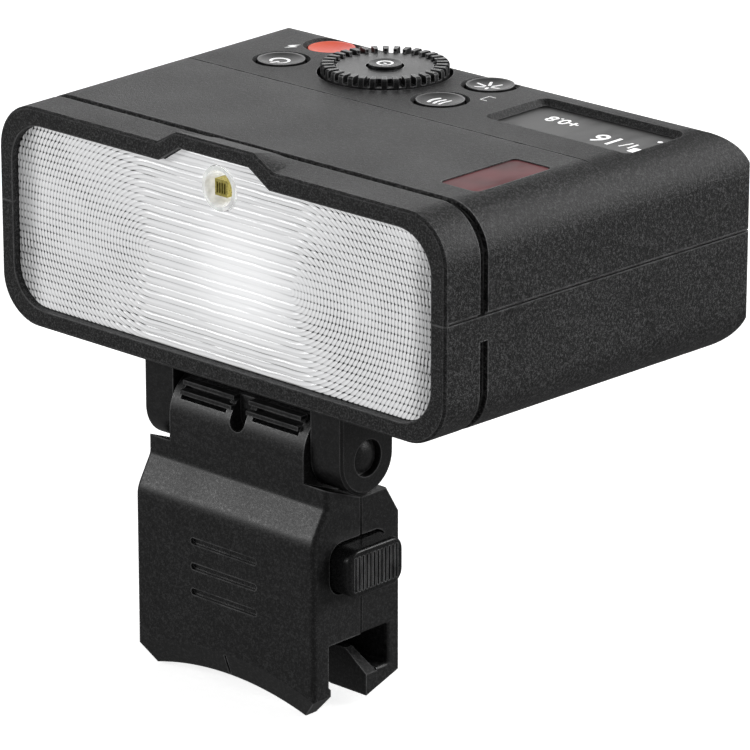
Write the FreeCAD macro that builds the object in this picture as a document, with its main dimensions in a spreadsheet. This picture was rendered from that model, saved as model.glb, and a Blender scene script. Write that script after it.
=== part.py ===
"""Compact macro flash head on a tilting rail bracket, as a parametric assembly.

Row frame: millimetres, +Z up, X to the right, Y backwards.  The origin is the
middle of the rail slot's ceiling, straight under the tilt pin.
"""
import FreeCAD
import Part
import math
import os
import re
import Sketcher

SIZES = [
    # head shells, measured from the front face and from the seam between the shells
    ("head_front", -9.55, "front face of the head, ahead of the tilt pin"),
    ("seam_height", 49.8, "seam of the two shells above the rail slot's ceiling"),
    ("head_width", 80, "width of the front face"),
    ("rear_spread", 1.95, "how much wider each side is at the back"),
    ("head_depth", 57, "front face to back face"),
    ("crown", 13.8, "seam to top"),
    ("belly", 16.5, "seam to underside"),
    ("rounding", 6.5, "rounding along the top and bottom edges"),
    ("rear_corner", 1, "corner radius seen from above"),
    ("inner_corner", 6.3, "corner radius of the hollow seen from above"),
    ("seam_line", 0.35, "height of the fine groove along the seam"),
    ("seam_deep", 0.45, "depth of that groove"),
    ("seam_start", 0.6, "front face to the start of that groove"),
    ("wall", 2.2, "shell wall"),
    ("inner_rounding", 3.6, "rounding inside the shells"),
    ("edge_break", 0.35, "small softening of visible edges"),
    ("bezel_depth", 4, "front face to the inside of the shells"),
    ("inner_start", 0.5, "overlap of the window opening with the hollow inside"),
    ("bezel_ring", 2.4, "width of the rim around the window"),
    ("window_corner", 5.6, "corner radius of the window opening"),
    ("bump_rise", 2, "height of the lamp bump over the top"),
    ("bump_ridge", 7, "half width of the bump's ridge"),
    ("bump_base", 11, "half width of the bump's foot"),
    ("bump_tail", 5, "half width of the bump where it runs out"),
    ("notch_rise", 2.3, "height of the window's notch under the bump"),
    ("notch_top", 6.3, "half width of the notch at its top"),
    ("notch_base", 9.9, "half width of the notch at its foot"),
    ("groove_start", 6.2, "front face to the shadow groove"),
    ("groove_width", 1.4, "width of the shadow groove"),
    ("groove_deep", 0.8, "depth of the shadow groove"),
    ("groove_stop", 3.3, "how far under the seam the lower groove starts"),
    ("crease_start", 31.3, "front face to the fine line across the top"),
    ("crease_half", 36.7, "half length of that line"),
    ("crease_width", 0.3, "width of the fine line"),
    ("crease_deep", 0.25, "depth of the fine line"),
    ("boss_radius", 2.3, "screw pillars of the shells"),
    ("boss_across", 33.4, "pillars from the middle"),
    ("boss_front", 30.4, "front pair of pillars"),
    ("boss_back", 50.6, "back pair of pillars"),
    ("screw_radius", 1, "case screw shank"),
    ("screw_head", 1.9, "case screw head"),
    ("screw_head_high", 1.3, "height of the case screw head"),
    ("screw_sink", 1.6, "depth of the case screw's sink"),
    ("screw_grip", 5, "case screw thread above the seam"),
    ("slot_long", 2.6, "length of the case screws' slot"),
    ("slot_wide", 0.5, "width of the screws' slots"),
    ("slot_deep", 0.6, "depth of the case screws' slot"),
    ("seat_gap", 0.1, "clearance of pieces that are fitted and stay"),
    ("free_gap", 0.3, "clearance of pieces that move"),
    ("running_gap", 0.05, "radial clearance of shafts"),
    # window, reflector, tube and lamp
    ("lens_recess", 1.2, "window front behind the front face"),
    ("lens_thick", 2, "window thickness"),
    ("reflector_radius", 9.4, "outside radius of the reflector trough"),
    ("reflector_low", 3.9, "reflector axis under the seam"),
    ("reflector_lip", 1, "straight lip of the reflector"),
    ("reflector_half", 33.5, "half length of the reflector"),
    ("sheet_thick", 0.5, "reflector sheet"),
    ("tube_radius", 2, "flash tube radius"),
    ("tube_half", 35, "half length of the flash tube"),
    ("tube_back", 5.5, "flash tube behind the reflector's mouth"),
    ("seal_radius", 3.4, "tube end seal radius"),
    ("seal_long", 2.4, "tube end seal length"),
    ("electrode_radius", 0.6, "electrode pin radius"),
    ("electrode_long", 1.8, "electrode pin length"),
    ("lamp_high", 9.4, "lamp axis above the seam"),
    ("lamp_radius", 3, "lamp cup outside radius"),
    ("lamp_mouth", 2.45, "lamp cup inside radius"),
    ("lamp_throat", 1.7, "lamp cup hole radius at the die"),
    ("lamp_front", 0.9, "lamp cup behind the front face"),
    ("lamp_long", 3, "lamp cup length"),
    ("die_side", 2.2, "lamp die package side"),
    ("die_thick", 0.9, "lamp die package thickness"),
    ("die_inset", 0.5, "lamp die behind the cup's front"),
    ("lamp_board_side", 7.8, "lamp board width"),
    ("lamp_board_high", 4.2, "lamp board height"),
    # controls on the top
    ("row_front", 39.3, "front row of buttons"),
    ("row_back", 49.2, "back row of buttons"),
    ("column_left", 26, "left column of buttons from the middle"),
    ("column_right", 3.15, "right column of buttons from the middle"),
    ("button_radius", 3.25, "button cap radius"),
    ("button_rise", 0.1, "button cap above the top"),
    ("button_dish", 0.35, "depth of the dish in a cap"),
    ("button_flange", 4.1, "retaining flange radius"),
    ("flange_thick", 0.8, "retaining flange thickness"),
    ("flange_gap", 0.5, "retaining flange under the top wall"),
    ("stem_radius", 1.2, "button stem radius"),
    ("hole_break", 0.45, "chamfer round the control holes"),
    ("test_sink", 0.35, "test button below the top"),
    ("button_travel", 0.4, "travel of the top buttons"),
    ("dial_across", 11.45, "dial centre left of the middle"),
    ("dial_back", 44.3, "dial centre behind the front face"),
    ("dial_radius", 8.7, "dial radius over its teeth"),
    ("dial_well", 9.2, "radius of the well round the dial"),
    ("well_deep", 1.2, "depth of the well"),
    ("dial_rise", 1.3, "dial top above the top"),
    ("dial_dish", 0.45, "dial face below its teeth"),
    ("tooth_long", 1.75, "radial length of a dial tooth"),
    ("tooth_gap", 0.8, "gap between dial teeth"),
    ("tooth_deep", 1.15, "depth of the gaps"),
    ("hub_radius", 3.3, "dial hub radius"),
    ("hub_long", 3.4, "dial hub length"),
    ("set_radius", 2.3, "centre button radius"),
    ("set_rise", 0.45, "centre button above the dial face"),
    ("set_thick", 1.3, "centre button cap thickness"),
    # display and sensor window
    ("display_across", 24.8, "display centre right of the middle"),
    ("display_back", 43.4, "display centre behind the front face"),
    ("display_wide", 24.8, "display recess width"),
    ("display_deep", 12.5, "display recess front to back"),
    ("display_sink", 0.8, "display window below the top"),
    ("display_slope", 45, "slope of the recess walls in degrees"),
    ("display_corner", 1.6, "corner radius of the display recess"),
    ("pane_thick", 0.9, "display window thickness"),
    ("pane_ledge", 0.9, "ledge under the display window"),
    ("module_wide", 20.4, "display module width"),
    ("module_deep", 9.8, "display module front to back"),
    ("module_thick", 1.5, "display module thickness"),
    ("sensor_across", 31.4, "sensor window centre right of the middle"),
    ("sensor_back", 18.8, "sensor window centre behind the front face"),
    ("sensor_wide", 6.5, "sensor window width"),
    ("sensor_deep", 14.4, "sensor window front to back"),
    ("sensor_corner", 1, "sensor window corner radius"),
    ("sensor_sink", 0.15, "sensor window below the top"),
    ("sensor_thick", 1.3, "sensor window thickness"),
    # circuit boards and parts inside the head
    ("board_half", 30, "half width of the boards"),
    ("board_thick", 1, "board thickness"),
    ("board_front", 34.5, "front edge of the rear boards"),
    ("board_deep", 19.5, "front to back of the rear boards"),
    ("control_high", 5.6, "control board above the seam"),
    ("main_high", 0.4, "main board above the seam"),
    ("power_front", 16.4, "front edge of the power board"),
    ("power_deep", 17, "front to back of the power board"),
    ("power_lift", 1.5, "power board above the lower shell's floor"),
    ("switch_side", 4.4, "small switch side"),
    ("switch_high", 1.4, "small switch height"),
    ("encoder_side", 11, "dial encoder side"),
    ("encoder_high", 2, "dial encoder height"),
    ("capacitor_radius", 7.6, "main capacitor radius"),
    ("capacitor_long", 30, "main capacitor length"),
    ("transformer_wide", 11, "boost transformer width"),
    ("transformer_deep", 10, "boost transformer front to back"),
    ("transformer_high", 9, "boost transformer height"),
    ("transformer_across", 9, "boost transformer right of the middle"),
    ("coil_radius", 3.4, "trigger coil radius"),
    ("coil_high", 11, "trigger coil height"),
    ("coil_across", 22, "trigger coil right of the middle"),
    ("battery_wide", 54, "battery width"),
    ("battery_front", 35.5, "battery's front edge"),
    ("battery_deep", 15.2, "battery front to back"),
    ("battery_high", 12.4, "battery height"),
    ("socket_across", 20, "charging socket left of the middle"),
    ("socket_wide", 9, "charging socket width"),
    ("socket_high", 3.2, "charging socket height"),
    ("socket_long", 7.2, "charging socket length"),
    ("socket_skin", 0.3, "charging socket metal"),
    ("socket_inset", 0.2, "charging socket inside the back face"),
    ("tongue_wide", 6.7, "contact tongue width"),
    ("tongue_long", 5, "contact tongue length"),
    ("tongue_high", 0.7, "contact tongue height"),
    ("socket_floor", 1, "thickness of the socket's inner end"),
    # tilt hinge
    ("pin_height", 24.9, "tilt pin above the rail slot's ceiling"),
    ("ear_outside", 18, "outer face of the ears from the middle"),
    ("knuckle_half", 12.2, "half width of the knuckle"),
    ("ear_radius", 4.9, "rounded end of the ears"),
    ("yoke_plate", 1.1, "plate that joins the ears"),
    ("pin_radius", 2, "tilt pin radius"),
    ("cap_well", 2.5, "radius of the well for the pin's cap"),
    ("cap_sink", 1.2, "depth of that well"),
    ("cap_radius", 2.15, "radius of the pin's cap"),
    ("cap_dome", 0.55, "dome of the pin's cap"),
    ("cap_stay", 0.2, "pin cap inside the ear's face"),
    ("sleeve_radius", 3.2, "friction sleeve radius"),
    ("knuckle_radius", 5.95, "knuckle radius"),
    ("yoke_screw_apart", 2.4, "yoke screws from the pin, front to back"),
    ("yoke_screw_long", 4.6, "yoke screw thread in the ear"),
    ("yoke_head_high", 0.7, "height of the yoke screws' flat heads"),
    # bracket
    ("bracket_half", 16.3, "half width of the bracket"),
    ("plate_front", 8.45, "front plate ahead of the pin"),
    ("fold_top", 18.9, "upper end of the fold"),
    ("fold_low", 14.6, "lower end of the fold"),
    ("fold_soft", 4.2, "radius of both bends of the fold"),
    ("plate_soft", 0.7, "rounding of the front plate's side edges"),
    ("seam_soft", 0.18, "bevel of the meeting edges at the bracket's seam"),
    ("shoulder_top", 21.5, "top of the shoulders"),
    ("rear_top", 18.95, "top of the rear shell"),
    ("rear_face", 7.8, "rear face behind the pin"),
    ("rear_slope_in", 2.3, "rear slope at the top"),
    ("rear_slope_low", 3.75, "rear slope down the back"),
    ("bracket_seam", 0.5, "seam of the bracket shells behind the pin"),
    ("rear_soft", 0.4, "rounding of the rear shell's side edges"),
    ("slot_half", 5.65, "half width of the rail slot"),
    ("plate_low", 11, "front plate under the slot's ceiling"),
    ("rail_radius", 50, "radius of the rail ring under the foot"),
    ("rail_centre", 58, "rail ring's centre under the slot's ceiling"),
    ("bevel_wide", 3.4, "width of the bevel over the foot"),
    ("bevel_deep", 1.2, "depth of the bevel over the foot"),
    ("foot_clip_across", 13.7, "where the foot's corner is cut, from the middle"),
    ("foot_clip_high", 7.1, "where the foot's corner is cut, under the ceiling"),
    ("foot_clip_low", 9.9, "lowest point of the foot"),
    ("toe_high", 6.2, "step on the plate's back, under the ceiling"),
    ("toe_step", 0.4, "thickness of that step"),
    ("jaw_front", 1.45, "front of the rear jaw's lip"),
    ("jaw_low", 9, "lowest point of the rear jaw"),
    ("jaw_heel", 6.9, "heel of the rear jaw"),
    ("lip_top", 3.3, "top of the lip under the ceiling"),
    ("lip_thick", 1.3, "thickness of the lip's top"),
    ("lip_root", 5.6, "root of the lip under the ceiling"),
    ("lip_ramp_start", 12.5, "where the lip's end ramps begin"),
    ("lip_ramp_fall", 3.1, "height of the lip's end ramps"),
    ("side_wall", 2.3, "side walls of the bracket"),
    ("front_wall", 2.5, "front wall of the bracket"),
    ("rear_wall", 2, "rear wall of the bracket"),
    ("floor_thick", 3, "floor over the rail slot"),
    ("roof_low", 15, "underside of the bracket's roof"),
    ("mark_pitch", 3.55, "pitch of the three grooves"),
    ("mark_top", 9.7, "upper groove above the ceiling"),
    ("mark_half", 6, "half length of the grooves"),
    ("mark_radius", 0.45, "half width of the grooves"),
    ("mark_deep", 0.5, "depth of the grooves"),
    ("tick_wide", 0.35, "width of the tick on the bevel"),
    ("tick_short", 0.3, "tick's ends inside the bevel"),
    ("pane_inner", 2.4, "inner edge of the knuckle windows"),
    ("pane_outer", 10.7, "outer edge of the knuckle windows"),
    ("pane_floor", 27.5, "bottom of the knuckle windows"),
    ("slit_half", 1.35, "half width of the knuckle's middle slit"),
    ("slit_floor", 25.6, "bottom of the middle slit"),
    ("bar_thick", 0.6, "thickness of the bars in the windows"),
    ("bar_pitch", 1.25, "pitch of those bars"),
    ("bar_step", 0.55, "each bar behind the one under it"),
    ("sleeve_skin", 0.4, "bottom of the windows over the sleeve"),
    ("press_wide", 10.2, "release button front to back"),
    ("press_high", 6.6, "release button height"),
    ("press_level", 10.2, "release button above the ceiling"),
    ("press_proud", 3.2, "release button beyond the side"),
    ("press_corner", 2, "release button corner radius"),
    ("press_soft", 0.5, "release button edge radius"),
    ("press_flange", 4.5, "half height of the button's flange"),
    ("press_flange_thick", 1.5, "thickness of the button's flange"),
    ("press_travel", 1.8, "travel of the release buttons"),
    ("rib_pitch", 0.7, "pitch of the ribs on the release buttons"),
    ("rib_deep", 0.3, "depth of the ribs"),
    ("rib_half", 2.35, "half height of the ribs"),
    ("arm_deep", 2.4, "half depth of the button's arm"),
    ("arm_low", 3.4, "underside of the arm"),
    ("arm_high", 8.2, "top of the arm"),
    ("arm_tip", 4.6, "tip of the arm from the middle"),
    ("pawl_half", 2.2, "half width of the pawl"),
    ("pawl_deep", 2.4, "half depth of the pawl"),
    ("pawl_tip", 1.6, "pawl tip below the ceiling"),
    ("pawl_soft", 0.6, "bevel of the pawl's tip"),
    ("pawl_top", 10, "top of the pawl"),
    ("pawl_wing", 6, "half width of the pawl's wings"),
    ("pawl_ramp", 2, "height of the pawl's ramp line at the middle"),
    ("ramp_gap", 0.45, "vertical gap between the ramps"),
    ("spring_radius", 1.9, "pawl spring, middle of the wire"),
    ("wire_radius", 0.25, "pawl spring wire"),
    ("spring_turns", 6, "turns of the pawl spring"),
    ("bolt_across", 7.5, "upper bracket screws from the middle"),
    ("bolt_level", 13.4, "upper bracket screws above the ceiling"),
    ("bolt_low_across", 10, "lower bracket screws from the middle"),
    ("bolt_radius", 0.8, "bracket screw shank"),
    ("bolt_head", 1.3, "bracket screw head"),
    ("bolt_sink", 1.1, "bracket screw head height"),
    ("bolt_boss", 1.9, "bosses of the upper bracket screws"),
    ("bolt_grip", 3.6, "bracket screw thread in the front shell"),
    ("bolt_slot_long", 1.8, "length of the bracket screws' slot"),
    ("bolt_slot_deep", 0.4, "depth of the bracket screws' slot"),
    ("bolt_stay", 0.1, "bracket screw head inside the rear face"),
]
TEETH = 34
RIBS = 12

doc = FreeCAD.newDocument("macro_flash")
sheet = doc.addObject("Spreadsheet::Sheet", "sizes")
for row, (alias, amount, meaning) in enumerate(SIZES, start=1):
    sheet.set(f"A{row}", meaning)
    sheet.set(f"B{row}", str(amount))
    sheet.setAlias(f"B{row}", alias)
doc.recompute()

NAMES = {alias for alias, amount, meaning in SIZES}
parts = {}


def linked(formula):
    """The formula with each size's name turned into a reference to its cell."""
    return re.sub(r"[a-z_]+", lambda word: "sizes." + word[0] if word[0] in NAMES else word[0], formula)


def number(formula):
    """The present value of a formula."""
    answer = sheet.evalExpression(linked(formula))
    return float(getattr(answer, "Value", answer))


def bind(item, **formulas):
    """Tie properties to formulas; a double underscore stands for a dot."""
    for name, formula in formulas.items():
        item.setExpression(name.replace("__", "."), linked(formula))


def place(item, x="0", y="0", z="0"):
    """Tie an object's place to formulas in the row frame."""
    item.setExpression("Placement.Base.x", linked(x))
    item.setExpression("Placement.Base.y", linked(y))
    item.setExpression("Placement.Base.z", linked(z))


def in_head(y="0", z="0"):
    """Row-frame y and z formulas of a point given from the head's front face and seam."""
    return f"head_front + {y}", f"seam_height + {z}"


# ---------------------------------------------------------------- Part Design helpers

def new_body(label, head=False):
    """An empty body; a head body has its origin on the front face at the seam."""
    body = doc.addObject("PartDesign::Body", label)
    body.Label = label
    if head:
        place(body, "0", "head_front", "seam_height")
    else:
        place(body)
    parts[label] = body
    return body


def new_sketch(body, name, plane, lift="0"):
    """A sketch on one of the body's own planes, lifted along the plane's normal."""
    role = plane + "_Plane"
    support = [face for face in body.Origin.OriginFeatures if face.Role == role][0]
    sketch = body.newObject("Sketcher::SketchObject", name)
    sketch.AttachmentSupport = [(support, "")]
    sketch.MapMode = "FlatFace"
    sketch.setExpression("AttachmentOffset.Base.z", linked(lift))
    return sketch


def pin_point(sketch, geometry, spot, x, y):
    """Fix a point of a sketch at x, y, both formulas."""
    for kind, formula in (("DistanceX", x), ("DistanceY", y)):
        rule = sketch.addConstraint(Sketcher.Constraint(kind, geometry, spot, number(formula)))
        sketch.setExpression(f"Constraints[{rule}]", linked(formula))


def outline(sketch, corners):
    """A closed outline; each corner is (x, y) or (x, y, radius), all formulas."""
    spots = [FreeCAD.Vector(number(c[0]), number(c[1]), 0) for c in corners]
    count = len(corners)
    leave = []
    reach = []
    arcs = {}
    for i, corner in enumerate(corners):
        here = spots[i]
        back = (spots[i - 1] - here).normalize()
        ahead = (spots[(i + 1) % count] - here).normalize()
        if len(corner) == 2:
            reach.append(here)
            leave.append(here)
            continue
        radius = number(corner[2])
        half_turn = back.getAngle(ahead) / 2
        reach.append(here + back * (radius / math.tan(half_turn)))
        leave.append(here + ahead * (radius / math.tan(half_turn)))
        centre = here + (back + ahead).normalize() * (radius / math.sin(half_turn))
        first = math.atan2(reach[i].y - centre.y, reach[i].x - centre.x)
        last = math.atan2(leave[i].y - centre.y, leave[i].x - centre.x)
        left_turn = back.cross(ahead).z < 0
        angles = (first, last) if left_turn else (last, first)
        ring = Part.Circle(centre, FreeCAD.Vector(0, 0, 1), radius)
        arcs[i] = (Part.ArcOfCircle(ring, *angles), left_turn)
    lines = []
    for i in range(count):
        lines.append(sketch.addGeometry(Part.LineSegment(leave[i], reach[(i + 1) % count]), False))
    for i, corner in enumerate(corners):
        before, after = lines[i - 1], lines[i]
        if i not in arcs:
            sketch.addConstraint(Sketcher.Constraint("Coincident", before, 2, after, 1))
            pin_point(sketch, after, 1, corner[0], corner[1])
            continue
        arc, left_turn = arcs[i]
        bend = sketch.addGeometry(arc, False)
        start, end = (1, 2) if left_turn else (2, 1)
        sketch.addConstraint(Sketcher.Constraint("Tangent", before, 2, bend, start))
        sketch.addConstraint(Sketcher.Constraint("Tangent", bend, end, after, 1))
        rule = sketch.addConstraint(Sketcher.Constraint("Radius", bend, number(corner[2])))
        sketch.setExpression(f"Constraints[{rule}]", linked(corner[2]))
        apex = sketch.addGeometry(Part.Point(spots[i]), True)
        pin_point(sketch, apex, 1, corner[0], corner[1])
        sketch.addConstraint(Sketcher.Constraint("PointOnObject", apex, 1, before))
        sketch.addConstraint(Sketcher.Constraint("PointOnObject", apex, 1, after))


def circle(sketch, x, y, radius):
    """A circle in a sketch, from formulas."""
    centre = FreeCAD.Vector(number(x), number(y), 0)
    ring = sketch.addGeometry(Part.Circle(centre, FreeCAD.Vector(0, 0, 1), number(radius)), False)
    pin_point(sketch, ring, 3, x, y)
    rule = sketch.addConstraint(Sketcher.Constraint("Radius", ring, number(radius)))
    sketch.setExpression(f"Constraints[{rule}]", linked(radius))


def rectangle(sketch, x, y, wide, high, radius=None):
    """A rectangle about x, y."""
    corners = []
    for across, up in ((-1, -1), (1, -1), (1, 1), (-1, 1)):
        corner = [f"{x} + {across} * ({wide}) / 2", f"{y} + {up} * ({high}) / 2"]
        corners.append(corner + [radius] if radius else corner)
    outline(sketch, corners)


def feature(body, kind, name, profile, length, along=True):
    """A Pad or Pocket of a profile, along the sketch's normal or against it."""
    made = body.newObject("PartDesign::" + kind, name)
    made.Profile = profile
    made.setExpression("Length", linked(length))
    made.Reversed = along == (kind == "Pocket")
    body.Tip = made
    return made


def pad(body, name, profile, length, along=True):
    return feature(body, "Pad", name, profile, length, along)


def pocket(body, name, profile, length, along=True):
    return feature(body, "Pocket", name, profile, length, along)


def revolve(body, kind, name, profile, axis):
    """A full Revolution or Groove about one of the sketch's axes."""
    made = body.newObject("PartDesign::" + kind, name)
    made.Profile = profile
    made.ReferenceAxis = (profile, [axis])
    made.Angle = 360
    body.Tip = made
    return made


def soften(body, kind, name, size, wanted):
    """Fillet or chamfer the edges of the body that wanted() picks."""
    doc.recompute()
    base = body.Tip
    edges = [f"Edge{i}" for i, edge in enumerate(base.Shape.Edges, start=1) if wanted(edge)]
    made = body.newObject("PartDesign::" + kind, name)
    made.Base = (base, edges)
    made.setExpression("Radius" if kind == "Fillet" else "Size", linked(size))
    body.Tip = made
    return made


def flat_at(edge, axis, level):
    """Whether an edge lies wholly at one level of an axis."""
    low = getattr(edge.BoundBox, axis + "Min")
    high = getattr(edge.BoundBox, axis + "Max")
    return abs(low - level) < 0.01 and abs(high - level) < 0.01


# ---------------------------------------------------------------- primitive helpers

TURNS = {
    "z": FreeCAD.Rotation(),
    "x": FreeCAD.Rotation(FreeCAD.Vector(0, 1, 0), 90),
    "y": FreeCAD.Rotation(FreeCAD.Vector(1, 0, 0), -90),
}


def rod(name, radius, length, x, y, z, axis="z"):
    """A cylinder that starts at x, y, z and runs along an axis."""
    made = doc.addObject("Part::Cylinder", name)
    made.Placement = FreeCAD.Placement(FreeCAD.Vector(), TURNS[axis])
    bind(made, Radius=radius, Height=length)
    place(made, x, y, z)
    return made


def block(name, wide, deep, high, x, y, z):
    """A box about x, y that stands on z."""
    made = doc.addObject("Part::Box", name)
    bind(made, Length=wide, Width=deep, Height=high)
    place(made, f"{x} - ({wide}) / 2", f"{y} - ({deep}) / 2", z)
    return made


def less(name, base, tool):
    made = doc.addObject("Part::Cut", name)
    made.Base = base
    made.Tool = tool
    return made


def joined(name, pieces):
    made = doc.addObject("Part::MultiFuse", name)
    made.Shapes = pieces
    return made


def together(name, pieces):
    """Separate solids that share one node."""
    made = doc.addObject("Part::Compound", name)
    made.Links = pieces
    return made


def keep(label, item):
    item.Label = label
    parts[label] = item


# ---------------------------------------------------------------- head shells

def side_x(sign, back, inset="0"):
    """Half width of the head at a distance behind the front face, less an inset."""
    return f"{sign} * (head_width / 2 + rear_spread * ({back}) / head_depth - ({inset}))"


def plan(sketch, inset, front, corner):
    """The head seen from above, pulled in by an inset, from a front line to the back."""
    back = f"(head_depth - ({inset}))"
    turn = (corner,) if corner else ()
    outline(sketch, [
        (side_x(-1, front, inset), front),
        (side_x(1, front, inset), front),
        (side_x(1, back, inset), back) + turn,
        (side_x(-1, back, inset), back) + turn,
    ])


def window_outline(sketch, gap):
    """The front window with its notch, pulled in by a gap."""
    side = f"head_width / 2 - bezel_ring - {gap}"
    top = f"crown - bezel_ring - {gap}"
    low = f"-belly + bezel_ring + {gap}"
    outline(sketch, [
        ("-(" + side + ")", low, "window_corner"),
        (side, low, "window_corner"),
        (side, top, "window_corner"),
        (f"notch_base - {gap}", top, "edge_break"),
        (f"notch_top - {gap}", f"{top} + notch_rise", "edge_break"),
        (f"-(notch_top - {gap})", f"{top} + notch_rise", "edge_break"),
        (f"-(notch_base - {gap})", top, "edge_break"),
        ("-(" + side + ")", top, "window_corner"),
    ])


def shell_blank(body, up):
    """The hollow half of the head on one side of the seam, with its window opening."""
    tall = "crown" if up else "belly"
    level = number(tall) if up else -number(tall)
    outside = new_sketch(body, "outside_plan", "XY")
    plan(outside, "0", "0", None)
    pad(body, "outside", outside, tall, up)

    def side_edge(edge):
        return flat_at(edge, "Z", level) and not flat_at(edge, "Y", 0) and not flat_at(edge, "Y", depth)
    depth = number("head_depth")
    soften(body, "Fillet", "side_rounding", "rounding", side_edge)
    round_rear_edge(body, up)
    round_rear_corners(body, up)
    inside = new_sketch(body, "inside_plan", "XY")
    plan(inside, "wall", "bezel_depth", "inner_corner")
    pocket(body, "inside", inside, f"{tall} - wall", up)
    inner_level = level - math.copysign(number("wall"), level)

    def inner_edge(edge):
        return flat_at(edge, "Z", inner_level) and not flat_at(edge, "Y", number("bezel_depth"))
    soften(body, "Fillet", "inner_rounding", "inner_rounding", inner_edge)


def round_rear_edge(body, up):
    """Take the rounding off the edge between the back and the top or underside."""
    sign = "" if up else "-"
    tall = "crown" if up else "belly"
    half = "(head_width / 2 + rear_spread + 1)"
    sketch = new_sketch(body, "rear_edge_side", "YZ", f"-{half}")
    corner_piece(sketch, "head_depth", f"{sign}{tall}", "rounding", 1 if up else -1)
    pocket(body, "rear_edge", sketch, f"2 * {half}")


def round_rear_corners(body, up):
    """Take the upright rear corners off, seen from above."""
    tall = "crown" if up else "belly"
    for sign in (-1, 1):
        sketch = new_sketch(body, "rear_corner_plan", "XY")
        across = f"{sign} * (head_width / 2 + rear_spread)"
        corner_piece(sketch, across, "head_depth", "rear_corner", 1, sign)
        pocket(body, "rear_corner", sketch, tall, up)


def corner_piece(sketch, x, y, radius, up, right=1):
    """The waste outside a rounded corner whose sharp point is at x, y."""
    beyond = "0.5"
    near = f"{x} - {right} * {radius}"
    low = f"{y} - {up} * {radius}"
    points = [(near, y), (near, f"{y} + {up} * {beyond}"),
              (f"{x} + {right} * {beyond}", f"{y} + {up} * {beyond}"),
              (f"{x} + {right} * {beyond}", low), (x, low)]
    spots = [FreeCAD.Vector(number(a), number(b), 0) for a, b in points]
    edges = []
    for start, end in zip(spots, spots[1:]):
        edges.append(sketch.addGeometry(Part.LineSegment(start, end), False))
    centre = FreeCAD.Vector(number(near), number(low), 0)
    middle = centre + (FreeCAD.Vector(number(x), number(y), 0) - centre) * math.sqrt(0.5)
    ahead = up * right > 0
    ends = (spots[-1], spots[0]) if ahead else (spots[0], spots[-1])
    bend = sketch.addGeometry(Part.Arc(ends[0], middle, ends[1]), False)
    for first, second in zip(edges, edges[1:]):
        sketch.addConstraint(Sketcher.Constraint("Coincident", first, 2, second, 1))
    for edge, (a, b) in zip(edges, points):
        pin_point(sketch, edge, 1, a, b)
    pin_point(sketch, edges[-1], 2, x, low)
    sketch.addConstraint(Sketcher.Constraint("Coincident", edges[-1], 2, bend, 1 if ahead else 2))
    sketch.addConstraint(Sketcher.Constraint("Coincident", edges[0], 1, bend, 2 if ahead else 1))
    rule = sketch.addConstraint(Sketcher.Constraint("Radius", bend, number(radius)))
    sketch.setExpression(f"Constraints[{rule}]", linked(radius))


def seam_groove(body):
    """The fine groove along the seam, round the sides and the back."""
    sketch = new_sketch(body, "seam_plan", "XY")
    back_in = "(head_depth - seam_deep)"
    inner_corner = "rear_corner - seam_deep"
    outline(sketch, [
        (side_x(-1, "seam_start", "-1"), "seam_start"),
        (side_x(-1, "seam_start", "seam_deep"), "seam_start"),
        (side_x(-1, back_in, "seam_deep"), back_in, inner_corner),
        (side_x(1, back_in, "seam_deep"), back_in, inner_corner),
        (side_x(1, "seam_start", "seam_deep"), "seam_start"),
        (side_x(1, "seam_start", "-1"), "seam_start"),
        (side_x(1, "head_depth", "-1"), "head_depth + 1"),
        (side_x(-1, "head_depth", "-1"), "head_depth + 1"),
    ])
    pocket(body, "seam_line", sketch, "seam_line")


def groove_path(sketch, up):
    """The band that the shadow groove takes off a shell."""
    stop = "0" if up else "-groove_stop"
    level = "crown - groove_deep" if up else "-belly + groove_deep"
    beyond = "crown + 5" if up else "-belly - 5"
    side = "head_width / 2 + rear_spread * groove_start / head_depth - groove_deep"
    outline(sketch, [
        (f"-({side})", stop), ("-head_width / 2 - 5", stop), ("-head_width / 2 - 5", beyond),
        ("head_width / 2 + 5", beyond), ("head_width / 2 + 5", stop), (side, stop),
        (side, level, "rounding - groove_deep"), (f"-({side})", level, "rounding - groove_deep"),
    ])


def boss_spots():
    return [(side, back) for side in ("-1", "1") for back in ("boss_front", "boss_back")]


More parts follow.
